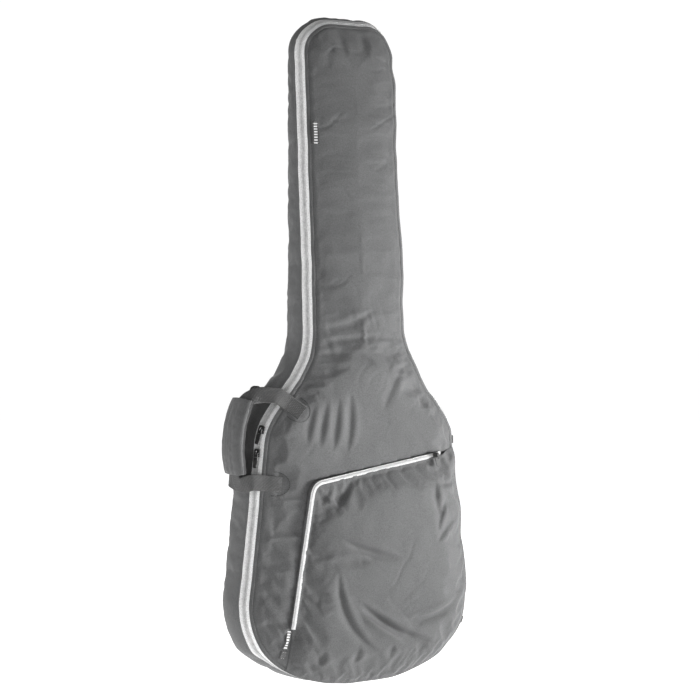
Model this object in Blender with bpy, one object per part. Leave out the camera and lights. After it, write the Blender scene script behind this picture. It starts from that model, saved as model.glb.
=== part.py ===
"""Padded gig bag for a full-size classical guitar, closed, hanging upright by its loop.

Axes: the front with the pocket faces -Y, the carrying handle is on the -X side, +Z is up.
Heights in this file (h) count up from the lowest point of the front seam. The function at()
moves them to world coordinates, whose origin is the bearing face of the hanging loop.
"""

import math

import bmesh
import bpy
from mathutils import Matrix, Vector

# ------------------------------------------------------------------ driving dimensions (metres)
FRONT_HEIGHT = 1.044            # front panel, seam to seam
LOWER_HALF = 0.1945             # half width of the front panel at the lower bout
WIDEST_HEIGHT = 0.137
BOTTOM_POWER = 2.3              # how square the rounded bottom is
FLANK_TOP = (0.169, 0.385)      # the straight flank ends here and the shoulder starts
NECK_START = (0.0825, 0.560)
NECK_HALF = 0.080
HEAD_CORNER = 0.052
SHOULDER_PULLS = ((0.163, 0.440), (0.084, 0.475))

FRONT_SEAM_Y = -0.046           # seam plane of the front panel on the body
HEAD_SEAM_Y = -0.002            # the same seam at the top of the head
TAPER_HEIGHT = 0.500            # above this the front leans back towards the head
BACK_SEAM_Y = 0.038
FRONT_CROWN = 0.016             # how far padding lifts the middle of a panel
BACK_CROWN = 0.012
CROWN_RUN = 0.030

FABRIC = 0.0010
FOAM = 0.0080
LINING = 0.0008
GAP = 0.0003
LAYER_GAP = 0.0008              # between layers whose facets differ
PADDING_INSET = 0.005           # foam and lining end this far inside the seam

BAND_WIDTH = 0.0192             # visible zip, both tapes together
BAND_TILT = math.radians(30)    # the zip band leans from the side towards the front
TAPE_EDGE = 0.0010
TAPE_SPLIT = 0.0096             # middle of the band, where the two coils mesh
COIL_WIDTH = 0.0040
COIL_HEIGHT = 0.0018
GUSSET_BULGE = 0.013            # how far the side stands out of the front outline
SEWN_FROM = 0.085               # the right flank is sewn between these heights
SEWN_TO = 0.390

WEBBING = 0.025
WEBBING_THICK = 0.0020
GRIP_Y = -0.015
HANG_POINT = (0.0, 0.060, 1.031)    # bearing face of the hanging loop, in bag coordinates
COVER_AXIS_OUT = 0.0030             # the line about which the front opens, outside the flank

POCKET_FOOT = (-0.1345, 0.098)  # lower end of the pocket zip
POCKET_CORNER = (-0.101, 0.323)  # where its two straight runs would meet
POCKET_END = (0.134, 0.361)     # upper end, near the right seam
POCKET_RADIUS = 0.020
POCKET_LIFT = 0.014
POCKET_STAND = 0.0022           # the pocket's edge stands off the panel at its seams
POCKET_RUN = 0.040              # how far in from the seam the pocket reaches its fullness
LINE_Y = {"foot": -0.0695, "corner": -0.0755, "end": -0.0680}    # depth of the pocket zip
TAPE_WIDTH = 0.0070
FLAP_AXIS_Y = -0.0805

MAIN_SLIDER = (0.0125, 0.0110)      # plate length and width
MAIN_PULL = (0.0235, 0.0078)
POCKET_SLIDER = (0.0080, 0.0100)
POCKET_PULL = (0.0190, 0.0076)
POCKET_PLATE_LOW = 0.0018
SLIDER_IN = 0.012               # the pocket slider stands this far in from the zip's end

LABEL_THICK = 0.0008
NECK_LABEL = ((-0.0690, 0.849), (-0.0690, 0.885), 0.012)      # two ends and a width
POCKET_LABEL = ((-0.1395, 0.066), (-0.1345, 0.094), 0.010)
POCKET_END_TAB = ((-0.1430, 0.051), (-0.1400, 0.063), 0.009)

YOKE_HEIGHT = 0.600
YOKE_STATIONS = (-0.062, -0.030, 0.0, 0.030, 0.062)
SHOULDER_PATH = ((0.032, 0.0085, 0.578), (0.036, 0.0190, 0.545), (0.046, 0.0300, 0.480),
                 (0.058, 0.0335, 0.410), (0.069, 0.0300, 0.340), (0.078, 0.0225, 0.285),
                 (0.084, 0.0160, 0.245))    # x, lift off the back, height
WEBBING_TOP = (0.0875, 0.0150, 0.2390)
WEBBING_FOOT = (0.1180, 0.0045, 0.1100)
BACK_WEBBING_THICK = 0.0016
ADJUSTER_SHARE = 0.16           # how far down its webbing each adjuster rests

# ------------------------------------------------------------------ colours, roughness, metallic
LOOKS = {
    "shell": ((0.135, 0.137, 0.140), 0.62, 0.0),
    "gusset": ((0.125, 0.127, 0.130), 0.65, 0.0),
    "foam": ((0.30, 0.30, 0.31), 0.90, 0.0),
    "lining": ((0.05, 0.05, 0.055), 0.80, 0.0),
    "zip_tape": ((0.78, 0.78, 0.78), 0.70, 0.0),
    "zip_coil": ((0.42, 0.42, 0.43), 0.45, 0.0),
    "webbing": ((0.11, 0.11, 0.115), 0.75, 0.0),
    "metal": ((0.20, 0.20, 0.21), 0.35, 1.0),
    "label": ((0.85, 0.85, 0.85), 0.70, 0.0),
    "plastic": ((0.03, 0.03, 0.032), 0.40, 0.0),
}


def clear_scene():
    for scene_object in list(bpy.data.objects):
        bpy.data.objects.remove(scene_object)


def make_materials():
    made = {}
    for name, (colour, roughness, metallic) in LOOKS.items():
        material = bpy.data.materials.new(name)
        material.use_nodes = True
        shader = material.node_tree.nodes["Principled BSDF"]
        shader.inputs["Base Color"].default_value = (*colour, 1.0)
        shader.inputs["Roughness"].default_value = roughness
        shader.inputs["Metallic"].default_value = metallic
        made[name] = material
    return made


clear_scene()
PARTS = bpy.data.collections.new("gig_bag")
bpy.context.scene.collection.children.link(PARTS)
MATERIALS = make_materials()


def at(x, y, h):
    """World position of a point given in bag coordinates."""
    return Vector((x - HANG_POINT[0], y - HANG_POINT[1], h - HANG_POINT[2]))


# ------------------------------------------------------------------ outline of the front seam

def bezier(points, steps):
    """Points of a cubic curve, without its first."""
    made = []
    for step in range(1, steps + 1):
        t = step / steps
        weights = ((1 - t) ** 3, 3 * t * (1 - t) ** 2, 3 * t * t * (1 - t), t ** 3)
        x = sum(w * p[0] for w, p in zip(weights, points))
        h = sum(w * p[1] for w, p in zip(weights, points))
        made.append((x, h))
    return made


def straight(start, end, steps):
    """Points of a straight run, without its first."""
    made = []
    for step in range(1, steps + 1):
        t = step / steps
        made.append((start[0] + (end[0] - start[0]) * t, start[1] + (end[1] - start[1]) * t))
    return made


def right_half():
    """The outline from the middle of the bottom up to the middle of the top."""
    points = [(0.0, 0.0)]
    for step in range(1, 9):
        turn = math.radians(90) * step / 8
        x = LOWER_HALF * math.sin(turn) ** (2 / BOTTOM_POWER)
        h = WIDEST_HEIGHT * (1 - max(math.cos(turn), 0.0) ** (2 / BOTTOM_POWER))
        points.append((x, h))
    points += straight(points[-1], FLANK_TOP, 4)
    points += bezier((FLANK_TOP, *SHOULDER_PULLS, NECK_START), 7)
    head_start = (NECK_HALF, FRONT_HEIGHT - HEAD_CORNER)
    points += straight(NECK_START, head_start, 4)
    for step in range(1, 5):
        turn = math.radians(90) * step / 4
        x = NECK_HALF - HEAD_CORNER * (1 - math.cos(turn))
        h = FRONT_HEIGHT - HEAD_CORNER * (1 - math.sin(turn))
        points.append((x, h))
    points.append((0.0, FRONT_HEIGHT))
    return points


HALF = right_half()
OUTLINE = HALF + [(-x, h) for x, h in reversed(HALF[1:-1])]
COUNT = len(OUTLINE)
TOP_INDEX = len(HALF) - 1


def outward(index):
    """Unit normal of the outline at one of its points, in its own plane."""
    before = OUTLINE[(index - 1) % COUNT]
    after = OUTLINE[(index + 1) % COUNT]
    along = Vector((after[0] - before[0], after[1] - before[1])).normalized()
    return Vector((along.y, -along.x))


def offset_point(place, distance):
    """Outline point at a whole or fractional place, moved outward by a distance."""
    index = math.floor(place)
    share = place - index
    point = Vector(OUTLINE[index % COUNT]).lerp(Vector(OUTLINE[(index + 1) % COUNT]), share)
    normal = outward(index).lerp(outward(index + 1), share).normalized()
    return point + normal * distance


def edge_distance(x, h):
    """Distance from a point inside the front panel to its seam."""
    point = Vector((x, h))
    best = 1.0
    for index in range(COUNT):
        start = Vector(OUTLINE[index])
        run = Vector(OUTLINE[(index + 1) % COUNT]) - start
        t = min(max((point - start).dot(run) / run.length_squared, 0.0), 1.0)
        best = min(best, (point - start - run * t).length)
    return best


def seam_y(h):
    """Plane of the front seam: upright on the body, leaning back up the neck."""
    if h <= TAPER_HEIGHT:
        return FRONT_SEAM_Y
    share = (h - TAPER_HEIGHT) / (FRONT_HEIGHT - TAPER_HEIGHT)
    return FRONT_SEAM_Y + (HEAD_SEAM_Y - FRONT_SEAM_Y) * share


def crown(distance, height):
    return height * (1 - math.exp(-distance / CROWN_RUN))


def front_y(x, h):
    return seam_y(h) - crown(edge_distance(x, h), FRONT_CROWN)


def back_y(x, h):
    return BACK_SEAM_Y + crown(edge_distance(x, h), BACK_CROWN)


# ------------------------------------------------------------------ solid builders

def add_piece(name, mesh_edit, look, pivot=None, parent=None):
    """Link a finished bmesh as one object whose origin is its pivot."""
    bmesh.ops.recalc_face_normals(mesh_edit, faces=mesh_edit.faces)
    origin = Vector(pivot) if pivot else Vector()
    bmesh.ops.translate(mesh_edit, verts=mesh_edit.verts, vec=-origin)
    mesh = bpy.data.meshes.new(name)
    mesh_edit.to_mesh(mesh)
    mesh_edit.free()
    mesh.shade_smooth()
    mesh.set_sharp_from_angle(angle=math.radians(40))
    mesh.materials.append(MATERIALS[look])
    piece = bpy.data.objects.new(name, mesh)
    PARTS.objects.link(piece)
    piece.parent = parent
    base = parent.matrix_world.translation if parent else Vector()
    piece.location = origin - base
    return piece


def add_axis(name, position, parent=None):
    """An empty on a joint's axis, the parent of what turns or slides there."""
    axis = bpy.data.objects.new(name, None)
    PARTS.objects.link(axis)
    axis.parent = parent
    base = parent.matrix_world.translation if parent else Vector()
    axis.location = Vector(position) - base
    bpy.context.view_layer.update()
    return axis


def loft(sections, closed_path=False):
    """Closed solid through equal-sized rings of points."""
    mesh_edit = bmesh.new()
    rings = [[mesh_edit.verts.new(point) for point in section] for section in sections]
    size = len(rings[0])
    pairs = list(zip(rings, rings[1:]))
    if closed_path:
        pairs.append((rings[-1], rings[0]))
    else:
        mesh_edit.faces.new(rings[0])
        mesh_edit.faces.new(list(reversed(rings[-1])))
    for near, far in pairs:
        for corner in range(size):
            after = (corner + 1) % size
            mesh_edit.faces.new((near[corner], near[after], far[after], far[corner]))
    return mesh_edit


def seam_section(place, profile):
    """One ring of points around the side: profile gives outward distance and y."""
    seam = seam_y(offset_point(place, 0.0).y)
    ring = []
    for distance, y in profile(seam):
        point = offset_point(place, distance)
        ring.append(at(point.x, y, point.y))
    return ring


def seam_solid(profile, places=None):
    """A strip swept along the seam, all the way round or over a range of outline places."""
    if places is None:
        return loft([seam_section(i, profile) for i in range(COUNT)], closed_path=True)
    return loft([seam_section(place, profile) for place in places])


def band_point(u, n, seam):
    """A point on the tilted zip band: u from the front seam back, n out of its face."""
    distance = u * math.sin(BAND_TILT) + n * math.cos(BAND_TILT)
    return distance, seam + u * math.cos(BAND_TILT) - n * math.sin(BAND_TILT)


def band_profile(u_low, u_high, n_low, n_high):
    def profile(seam):
        corners = ((u_low, n_low), (u_high, n_low), (u_high, n_high), (u_low, n_high))
        return [band_point(u, n, seam) for u, n in corners]
    return profile


def panel_sheet(inset, surface, shares):
    """Open sheet inside the seam, in rings that close onto the middle line."""
    mesh_edit = bmesh.new()
    rings = []
    for share in shares:
        ring = []
        for index in range(COUNT):
            edge = offset_point(index, -inset)
            middle_h = min(max(edge.y, WIDEST_HEIGHT + 0.02), FRONT_HEIGHT - HEAD_CORNER - 0.03)
            x = edge.x * share
            h = middle_h + (edge.y - middle_h) * share
            ring.append(mesh_edit.verts.new(at(x, surface(x, h), h)))
        rings.append(ring)
    for near, far in zip(rings, rings[1:]):
        for index in range(COUNT):
            after = (index + 1) % COUNT
            mesh_edit.faces.new((near[index], near[after], far[after], far[index]))
    bmesh.ops.remove_doubles(mesh_edit, verts=mesh_edit.verts, dist=1e-5)
    return mesh_edit


def thicken(mesh_edit, thickness):
    """Extrude an open sheet straight along +Y."""
    made = bmesh.ops.extrude_face_region(mesh_edit, geom=list(mesh_edit.faces))
    top = [item for item in made["geom"] if isinstance(item, bmesh.types.BMVert)]
    bmesh.ops.translate(mesh_edit, verts=top, vec=(0.0, thickness, 0.0))
    return mesh_edit


def front_layer(inset, depth, thickness, shares):
    sheet = panel_sheet(inset, lambda x, h: front_y(x, h) + depth, shares)
    return thicken(sheet, thickness)


def back_layer(inset, depth, thickness, shares):
    sheet = panel_sheet(inset, lambda x, h: back_y(x, h) - depth - thickness, shares)
    return thicken(sheet, thickness)


def strap(points, across, width, thickness):
    """Flat webbing along a list of points, with the direction of its width at each."""
    sections = []
    last = len(points) - 1
    for index, (point, side) in enumerate(zip(points, across)):
        along = points[min(index + 1, last)] - points[max(index - 1, 0)]
        face = along.cross(side).normalized()
        edge = face.cross(along).normalized()
        half = edge * (width / 2)
        lift = face * (thickness / 2)
        sections.append([point - half - lift, point + half - lift, point + half + lift,
                         point - half + lift])
    return loft(sections)


def pad(points, across, width, thickness):
    """Padded strap: like webbing, with a section rounded at its edges."""
    sections = []
    last = len(points) - 1
    shape = ((-0.50, -0.20), (-0.38, -0.50), (0.38, -0.50), (0.50, -0.20),
             (0.50, 0.20), (0.38, 0.50), (-0.38, 0.50), (-0.50, 0.20))
    for index, (point, side) in enumerate(zip(points, across)):
        along = points[min(index + 1, last)] - points[max(index - 1, 0)]
        face = along.cross(side).normalized()
        edge = face.cross(along).normalized()
        sections.append([point + edge * (width * a) + face * (thickness * b)
                         for a, b in shape])
    return loft(sections)


def turned(x_axis, z_axis):
    """Rotation whose x and z columns are the given unit vectors."""
    y_axis = z_axis.cross(x_axis)
    return Matrix((x_axis, y_axis, z_axis)).transposed().to_4x4()


def rounded_plate(outline, depth, hole=None):
    """Flat plate from a 2D outline, with an optional hole, extruded from 0 to depth."""
    curve = bpy.data.curves.new("plate", "CURVE")
    curve.dimensions = "2D"
    curve.fill_mode = "BOTH"
    curve.extrude = depth / 2
    for ring in filter(None, (outline, hole)):
        spline = curve.splines.new("POLY")
        spline.points.add(len(ring) - 1)
        for point, place in zip(spline.points, ring):
            point.co = (*place, 0.0, 1.0)
        spline.use_cyclic_u = True
    holder = bpy.data.objects.new("plate", curve)
    PARTS.objects.link(holder)
    evaluated = holder.evaluated_get(bpy.context.evaluated_depsgraph_get())
    mesh = bpy.data.meshes.new_from_object(evaluated)
    mesh_edit = bmesh.new()
    mesh_edit.from_mesh(mesh)
    bmesh.ops.remove_doubles(mesh_edit, verts=mesh_edit.verts, dist=1e-6)
    bmesh.ops.translate(mesh_edit, verts=mesh_edit.verts, vec=(0.0, 0.0, depth / 2))
    bpy.data.objects.remove(holder)
    bpy.data.curves.remove(curve)
    bpy.data.meshes.remove(mesh)
    return mesh_edit


def union(first, second):
    """Boolean union of two closed bmeshes."""
    holders = []
    for mesh_edit in (first, second):
        mesh = bpy.data.meshes.new("piece")
        mesh_edit.to_mesh(mesh)
        mesh_edit.free()
        holder = bpy.data.objects.new("piece", mesh)
        PARTS.objects.link(holder)
        holders.append(holder)
    modifier = holders[0].modifiers.new("union", "BOOLEAN")
    modifier.operation = "UNION"
    modifier.solver = "EXACT"
    modifier.object = holders[1]
    bpy.context.view_layer.update()
    evaluated = holders[0].evaluated_get(bpy.context.evaluated_depsgraph_get())
    mesh = bpy.data.meshes.new_from_object(evaluated)
    joined = bmesh.new()
    joined.from_mesh(mesh)
    bpy.data.meshes.remove(mesh)
    for holder in holders:
        mesh = holder.data
        bpy.data.objects.remove(holder)
        bpy.data.meshes.remove(mesh)
    return joined


def on_front(x, h, lift):
    """Point above the front panel's outer face."""
    return at(x, front_y(x, h) - lift, h)


def on_back(x, h, lift):
    return at(x, back_y(x, h) + lift, h)


# ------------------------------------------------------------------ back shell

PANEL_SHARES = (1.0, 0.94, 0.82, 0.60, 0.30, 0.0)
PADDING_SHARES = (1.0, 0.86, 0.55, 0.0)
RIGHT = range(1, TOP_INDEX)
SEWN = [i for i in RIGHT if SEWN_FROM <= OUTLINE[i][1] <= SEWN_TO]
SEWN_PLACES = [SEWN[0] - 0.95] + SEWN
ZIP_PLACES = ([SEWN[-1] + 0.02] + list(range(SEWN[-1] + 1, COUNT + SEWN[0]))
              + [COUNT + SEWN[0] - 0.97])


def side_start(seam):
    """y where the plain side of the bag begins, just behind the zip band."""
    return seam + BAND_WIDTH * math.cos(BAND_TILT) + TAPE_EDGE


def gusset_profile(seam):
    """Outer fabric of the side: from the zip band round to the back seam."""
    start = side_start(seam)
    rest = BACK_SEAM_Y - start
    outer = ((BAND_WIDTH * math.sin(BAND_TILT), start), (GUSSET_BULGE, start + rest * 0.30),
             (GUSSET_BULGE, start + rest * 0.62), (0.0090, BACK_SEAM_Y - 0.0060),
             (0.0012, BACK_SEAM_Y - 0.0004))
    inward = ((-1.0, 0.0), (-1.0, 0.0), (-1.0, 0.0), (-0.80, -0.60), (-0.60, -0.80))
    inner = [(d + FABRIC * a, y + FABRIC * b) for (d, y), (a, b) in zip(outer, inward)]
    return list(outer) + list(reversed(inner))


def side_layer(outer_edge, outer_middle, thickness):
    """Padding or lining inside the gusset."""
    def profile(seam):
        start = side_start(seam)
        rest = BACK_SEAM_Y - start
        heights = (start + GAP * 4, start + rest * 0.35, start + rest * 0.72)
        outer = list(zip((outer_edge, outer_middle, outer_edge), heights))
        return outer + [(d - thickness, y) for d, y in reversed(outer)]
    return profile


def seam_binding(seam_place, direction):
    """Tape that wraps the raw edges inside a seam."""
    def profile(seam):
        base = seam if seam_place == "front" else BACK_SEAM_Y
        near = base + 0.0018 * direction
        far = base + 0.0105 * direction
        return [(-0.0036, near), (-0.0012, near), (-0.0012, far), (-0.0036, far)]
    return profile


def build_back_shell():
    padding_depth = FABRIC + LAYER_GAP
    lining_depth = padding_depth + FOAM + LAYER_GAP
    add_piece("back_panel", back_layer(GAP * 2, 0.0, FABRIC, PANEL_SHARES), "shell")
    foam = back_layer(PADDING_INSET, padding_depth, FOAM, PADDING_SHARES)
    add_piece("back_foam", foam, "foam")
    lining = back_layer(PADDING_INSET, lining_depth, LINING, PADDING_SHARES)
    add_piece("back_lining", lining, "lining")
    add_piece("side_gusset", seam_solid(gusset_profile), "gusset")
    add_piece("gusset_foam", seam_solid(side_layer(0.0070, 0.0105, 0.0058)), "foam")
    add_piece("gusset_lining", seam_solid(side_layer(0.0000, 0.0036, LINING)), "lining")
    add_piece("back_seam_binding", seam_solid(seam_binding("back", -1.0)), "lining")
    tape = band_profile(TAPE_SPLIT + GAP, BAND_WIDTH - TAPE_EDGE, -FABRIC, 0.0)
    add_piece("zip_tape_rear", seam_solid(tape, ZIP_PLACES), "zip_tape")
    coil = band_profile(TAPE_SPLIT + GAP, TAPE_SPLIT + GAP + COIL_WIDTH, GAP, COIL_HEIGHT)
    add_piece("zip_coil_rear", seam_solid(coil, ZIP_PLACES), "zip_coil")
    strip = band_profile(TAPE_EDGE, BAND_WIDTH - TAPE_EDGE, -FABRIC, 0.0)
    add_piece("sewn_side_strip", seam_solid(strip, SEWN_PLACES), "gusset")
    tab = band_profile(0.0020, BAND_WIDTH - 0.0020, GAP, GAP + FABRIC)
    upper = [SEWN[-1] - 0.22, SEWN[-1] - 0.02]
    lower = [SEWN[0] - 0.93, SEWN[0] - 0.55]
    add_piece("zip_end_tab_upper", seam_solid(tab, upper), "webbing")
    add_piece("zip_end_tab_lower", seam_solid(tab, lower), "webbing")


# ------------------------------------------------------------------ front cover

COVER_PIVOT = at(LOWER_HALF + COVER_AXIS_OUT, FRONT_SEAM_Y, WIDEST_HEIGHT)


def build_front_cover(axis):
    pivot = COVER_PIVOT
    padding_depth = FABRIC + LAYER_GAP
    lining_depth = padding_depth + FOAM + LAYER_GAP
    foam = front_layer(PADDING_INSET, padding_depth, FOAM, PADDING_SHARES)
    lining = front_layer(PADDING_INSET, lining_depth, LINING, PADDING_SHARES)
    layers = (
        ("front_panel", front_layer(GAP * 2, 0.0, FABRIC, PANEL_SHARES), "shell"),
        ("front_foam", foam, "foam"),
        ("front_lining", lining, "lining"),
        ("front_seam_binding", seam_solid(seam_binding("front", 1.0)), "lining"),
    )
    for name, mesh_edit, look in layers:
        add_piece(name, mesh_edit, look, pivot, axis)
    tape = band_profile(TAPE_EDGE, TAPE_SPLIT - GAP, -FABRIC, 0.0)
    add_piece("zip_tape_front", seam_solid(tape, ZIP_PLACES), "zip_tape", pivot, axis)
    coil = band_profile(TAPE_SPLIT - GAP - COIL_WIDTH, TAPE_SPLIT - GAP, GAP, COIL_HEIGHT)
    add_piece("zip_coil_front", seam_solid(coil, ZIP_PLACES), "zip_coil", pivot, axis)


# ------------------------------------------------------------------ carrying handle

UPPER_CROSSING = COUNT - 14.9   # outline places where the handle webbing crosses the zip
LOWER_CROSSING = COUNT - 11.0
GRIP = ((-0.1935, 0.447), (-0.2050, 0.408), (-0.2085, 0.372), (-0.2030, 0.331))
FOLD_SPREAD = 0.013             # the two loops part this far at each end of the grip
SEWN_LIFT = 0.0007              # webbing sewn to a panel clears its facets by this much
SLOT_HALF = 0.0050
GRIP_LAYER = 0.0018             # each loop's middle is this far from the grip's own


def sewn_run(place, surface, distances):
    """Webbing points across the seam at one outline place, on a panel's surface."""
    made = []
    for distance in distances:
        point = offset_point(place, distance)
        made.append(surface(point.x, point.y, SEWN_LIFT + WEBBING_THICK / 2))
    return made


def handle_loop(surface, seam_side_y, layer, side, turn):
    """One webbing loop: sewn to a panel, out to the grip, down through it and back.

    layer is the x offset inside the grip, side is -1 for the front of the bag and 1 for its
    back, and turn is the sign of the width's first direction.
    """
    def crossing(place, distance, y):
        point = offset_point(place, distance)
        return at(point.x, y, point.y)

    def tangent(place):
        normal = outward(round(place))
        return Vector((-normal.y, 0.0, normal.x)) * -1.0

    deep = Vector((0.0, 1.0, 0.0))
    upper_side = tangent(UPPER_CROSSING) * turn
    lower_side = tangent(LOWER_CROSSING) * -turn
    upper = sewn_run(UPPER_CROSSING, surface, (-0.030, -0.018, -0.005))
    lower = sewn_run(LOWER_CROSSING, surface, (-0.005, -0.018, -0.030))
    grip = [at(x + layer, GRIP_Y, h) for x, h in GRIP]
    fold_y = GRIP_Y + FOLD_SPREAD * side
    points = upper + [crossing(UPPER_CROSSING, 0.014, seam_side_y),
                      at(-0.167 + layer, fold_y + 0.006 * side, 0.469),
                      at(-0.181 + layer * 3, fold_y, 0.465)]
    across = [upper_side] * 4 + [Vector((0.25, 0.0, 0.97)) * turn,
                                 Vector((0.0, 1.0, turn)).normalized()]
    points += grip
    across += [deep] * len(grip)
    points += [at(-0.1985 + layer * 3, fold_y + 0.002 * side, 0.317),
               crossing(LOWER_CROSSING, 0.0165, seam_side_y)] + lower
    across += [Vector((0.0, 1.0, -turn)).normalized()] + [lower_side] * 4
    return strap(points, across, WEBBING, WEBBING_THICK)


def grip_wrap():
    """Padded wrap around both loops, a C whose slot faces the back of the bag."""
    shape = ((0.0034, 0.0240), (0.0088, 0.0190), (0.0110, 0.0), (0.0082, -0.0190),
             (0.0, -0.0250), (-0.0082, -0.0190), (-0.0110, 0.0), (-0.0100, 0.0180),
             (-0.0080, 0.0230), (-0.0046, -0.0190), (0.0034, -0.0190))
    path = ((-0.1945, 0.444), (-0.1995, 0.428), (-0.2050, 0.408), (-0.2085, 0.372),
            (-0.2052, 0.347), (-0.2036, 0.335))
    swell = (0.85, 1.0, 1.0, 1.0, 1.0, 0.85)
    sections = []
    last = len(path) - 1
    for index, (x, h) in enumerate(path):
        before = path[max(index - 1, 0)]
        after = path[min(index + 1, last)]
        along = Vector((after[0] - before[0], 0.0, after[1] - before[1])).normalized()
        out = along.cross(Vector((0.0, 1.0, 0.0)))
        ring = []
        for a, b in shape:
            scale = swell[index] if abs(a) > SLOT_HALF else 1.0
            ring.append(at(x, GRIP_Y + b, h) - out * (a * scale))
        sections.append(ring)
    return loft(sections)


def build_handle(axis):
    pivot = COVER_PIVOT
    front = handle_loop(on_front, FRONT_SEAM_Y - 0.001, -GRIP_LAYER, -1.0, 1.0)
    add_piece("handle_loop_front", front, "webbing", pivot, axis)
    back = handle_loop(on_back, BACK_SEAM_Y + 0.001, GRIP_LAYER, 1.0, -1.0)
    add_piece("handle_loop_back", back, "webbing")
    add_piece("handle_wrap", grip_wrap(), "shell", pivot, axis)


# ------------------------------------------------------------------ pocket

def toward(start, end, length):
    start = Vector(start)
    return start + (Vector(end) - start).normalized() * length


def pocket_line():
    """The pocket zip from its foot, round the corner, to its upper end."""
    foot = Vector(POCKET_FOOT)
    bend_start = toward(POCKET_CORNER, POCKET_FOOT, POCKET_RADIUS)
    bend_end = toward(POCKET_CORNER, POCKET_END, POCKET_RADIUS)
    points = [foot] + [Vector(p) for p in straight(foot, bend_start, 4)]
    corner = Vector(POCKET_CORNER)
    for step in range(1, 5):
        t = step / 4
        points.append(bend_start * (1 - t) ** 2 + corner * 2 * t * (1 - t) + bend_end * t * t)
    return points + [Vector(p) for p in straight(bend_end, POCKET_END, 6)]


POCKET_LINE = pocket_line()


def line_y(index):
    """Depth of the pocket's edge: straight from foot to corner and from corner to end."""
    point = POCKET_LINE[index]
    corner = Vector(POCKET_CORNER)
    foot_run = (Vector(POCKET_FOOT) - corner).length
    end_run = (Vector(POCKET_END) - corner).length
    if index <= 6:
        share = min((point - corner).length / foot_run, 1.0)
        return LINE_Y["corner"] + (LINE_Y["foot"] - LINE_Y["corner"]) * share
    share = min((point - corner).length / end_run, 1.0)
    return LINE_Y["corner"] + (LINE_Y["end"] - LINE_Y["corner"]) * share


def line_inward(index):
    """Unit vector from the pocket zip towards the middle of the pocket."""
    before = POCKET_LINE[max(index - 1, 0)]
    after = POCKET_LINE[min(index + 1, len(POCKET_LINE) - 1)]
    along = (after - before).normalized()
    return Vector((along.y, -along.x))


def line_point(index, inward, lift):
    place = POCKET_LINE[index] + line_inward(index) * inward
    return at(place.x, line_y(index) - lift, place.y)


def line_solid(inward_low, inward_high, lift_low, lift_high):
    """Strip along the pocket zip with a rectangular section."""
    sections = []
    for index in range(len(POCKET_LINE)):
        corners = ((inward_low, lift_low), (inward_high, lift_low),
                   (inward_high, lift_high), (inward_low, lift_high))
        sections.append([line_point(index, inward, lift) for inward, lift in corners])
    return loft(sections)


def pocket_y(x, h):
    distance = edge_distance(x, h)
    return front_y(x, h) - POCKET_STAND - POCKET_LIFT * (1 - math.exp(-distance / POCKET_RUN))


FOLD_FOOT = POCKET_LINE[0] + line_inward(0) * (TAPE_WIDTH + 0.002)
FOLD_END = POCKET_LINE[-1] + line_inward(len(POCKET_LINE) - 1) * (TAPE_WIDTH + 0.002)
FOLD_SIDE = Vector(((FOLD_END - FOLD_FOOT).y, -(FOLD_END - FOLD_FOOT).x)).normalized()


def grid_sheet(rows):
    """Open sheet over a grid of points, merged where the rows meet."""
    mesh_edit = bmesh.new()
    grid = [[mesh_edit.verts.new(point) for point in row] for row in rows]
    for near, far in zip(grid, grid[1:]):
        for column in range(len(near) - 1):
            mesh_edit.faces.new((near[column], near[column + 1], far[column + 1], far[column]))
    return mesh_edit


def flap_sheet():
    """Pocket front between its zip and the diagonal about which it folds open."""
    rows = []
    last = len(POCKET_LINE) - 1
    fold = FOLD_END - FOLD_FOOT
    for index in range(last + 1):
        outer = POCKET_LINE[index] + line_inward(index) * (TAPE_WIDTH + GAP)
        share = (outer - FOLD_FOOT).dot(fold) / fold.length_squared
        inner = FOLD_FOOT + fold * min(max(share, 0.0), 1.0) - FOLD_SIDE * 0.0004
        correction = line_y(index) + 0.0002 - pocket_y(outer.x, outer.y)
        row = []
        for step in (0.0, 0.30, 0.60, 0.85, 1.0):
            place = inner.lerp(outer, step)
            y = pocket_y(place.x, place.y) + correction * step ** 2
            row.append(at(place.x, y, place.y))
        rows.append(row)
    return grid_sheet(rows)


def lower_pocket_sheet():
    """The rest of the pocket front, sewn into the side and bottom seams."""
    places = [11.7] + list(range(11, -4, -1)) + [-3.6]
    rows = []
    last = len(places) - 1
    for index, place in enumerate(places):
        outer = offset_point(place, -0.0012)
        inner = FOLD_END.lerp(FOLD_FOOT, index / last) + FOLD_SIDE * 0.0004
        row = []
        for step in (0.0, 0.30, 0.58, 0.78, 0.89, 0.95, 1.0):
            spot = inner.lerp(outer, step)
            row.append(at(spot.x, pocket_y(spot.x, spot.y), spot.y))
        rows.append(row)
    return grid_sheet(rows)


def pocket_wall():
    """Raised edge of the pocket, from the front panel up to its zip."""
    sections = []
    for index, place in enumerate(POCKET_LINE):
        inside = place + line_inward(index) * FABRIC
        foot_y = min(front_y(place.x, place.y), front_y(inside.x, inside.y)) - GAP
        top_y = line_y(index) + FABRIC + GAP * 2
        sections.append([at(place.x, foot_y, place.y), at(inside.x, foot_y, inside.y),
                         at(inside.x, top_y, inside.y), at(place.x, top_y, place.y)])
    return loft(sections)


def surface_label(start, end, width, thickness, lift):
    """Small woven label lying on the front panel."""
    points = []
    across = []
    for share in (0.0, 0.5, 1.0):
        place = Vector(start).lerp(Vector(end), share)
        points.append(on_front(place.x, place.y, lift + thickness / 2))
        side = on_front(place.x + 0.004, place.y, 0.0) - on_front(place.x - 0.004, place.y, 0.0)
        across.append(side.normalized())
    return strap(points, across, width, thickness)


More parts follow.
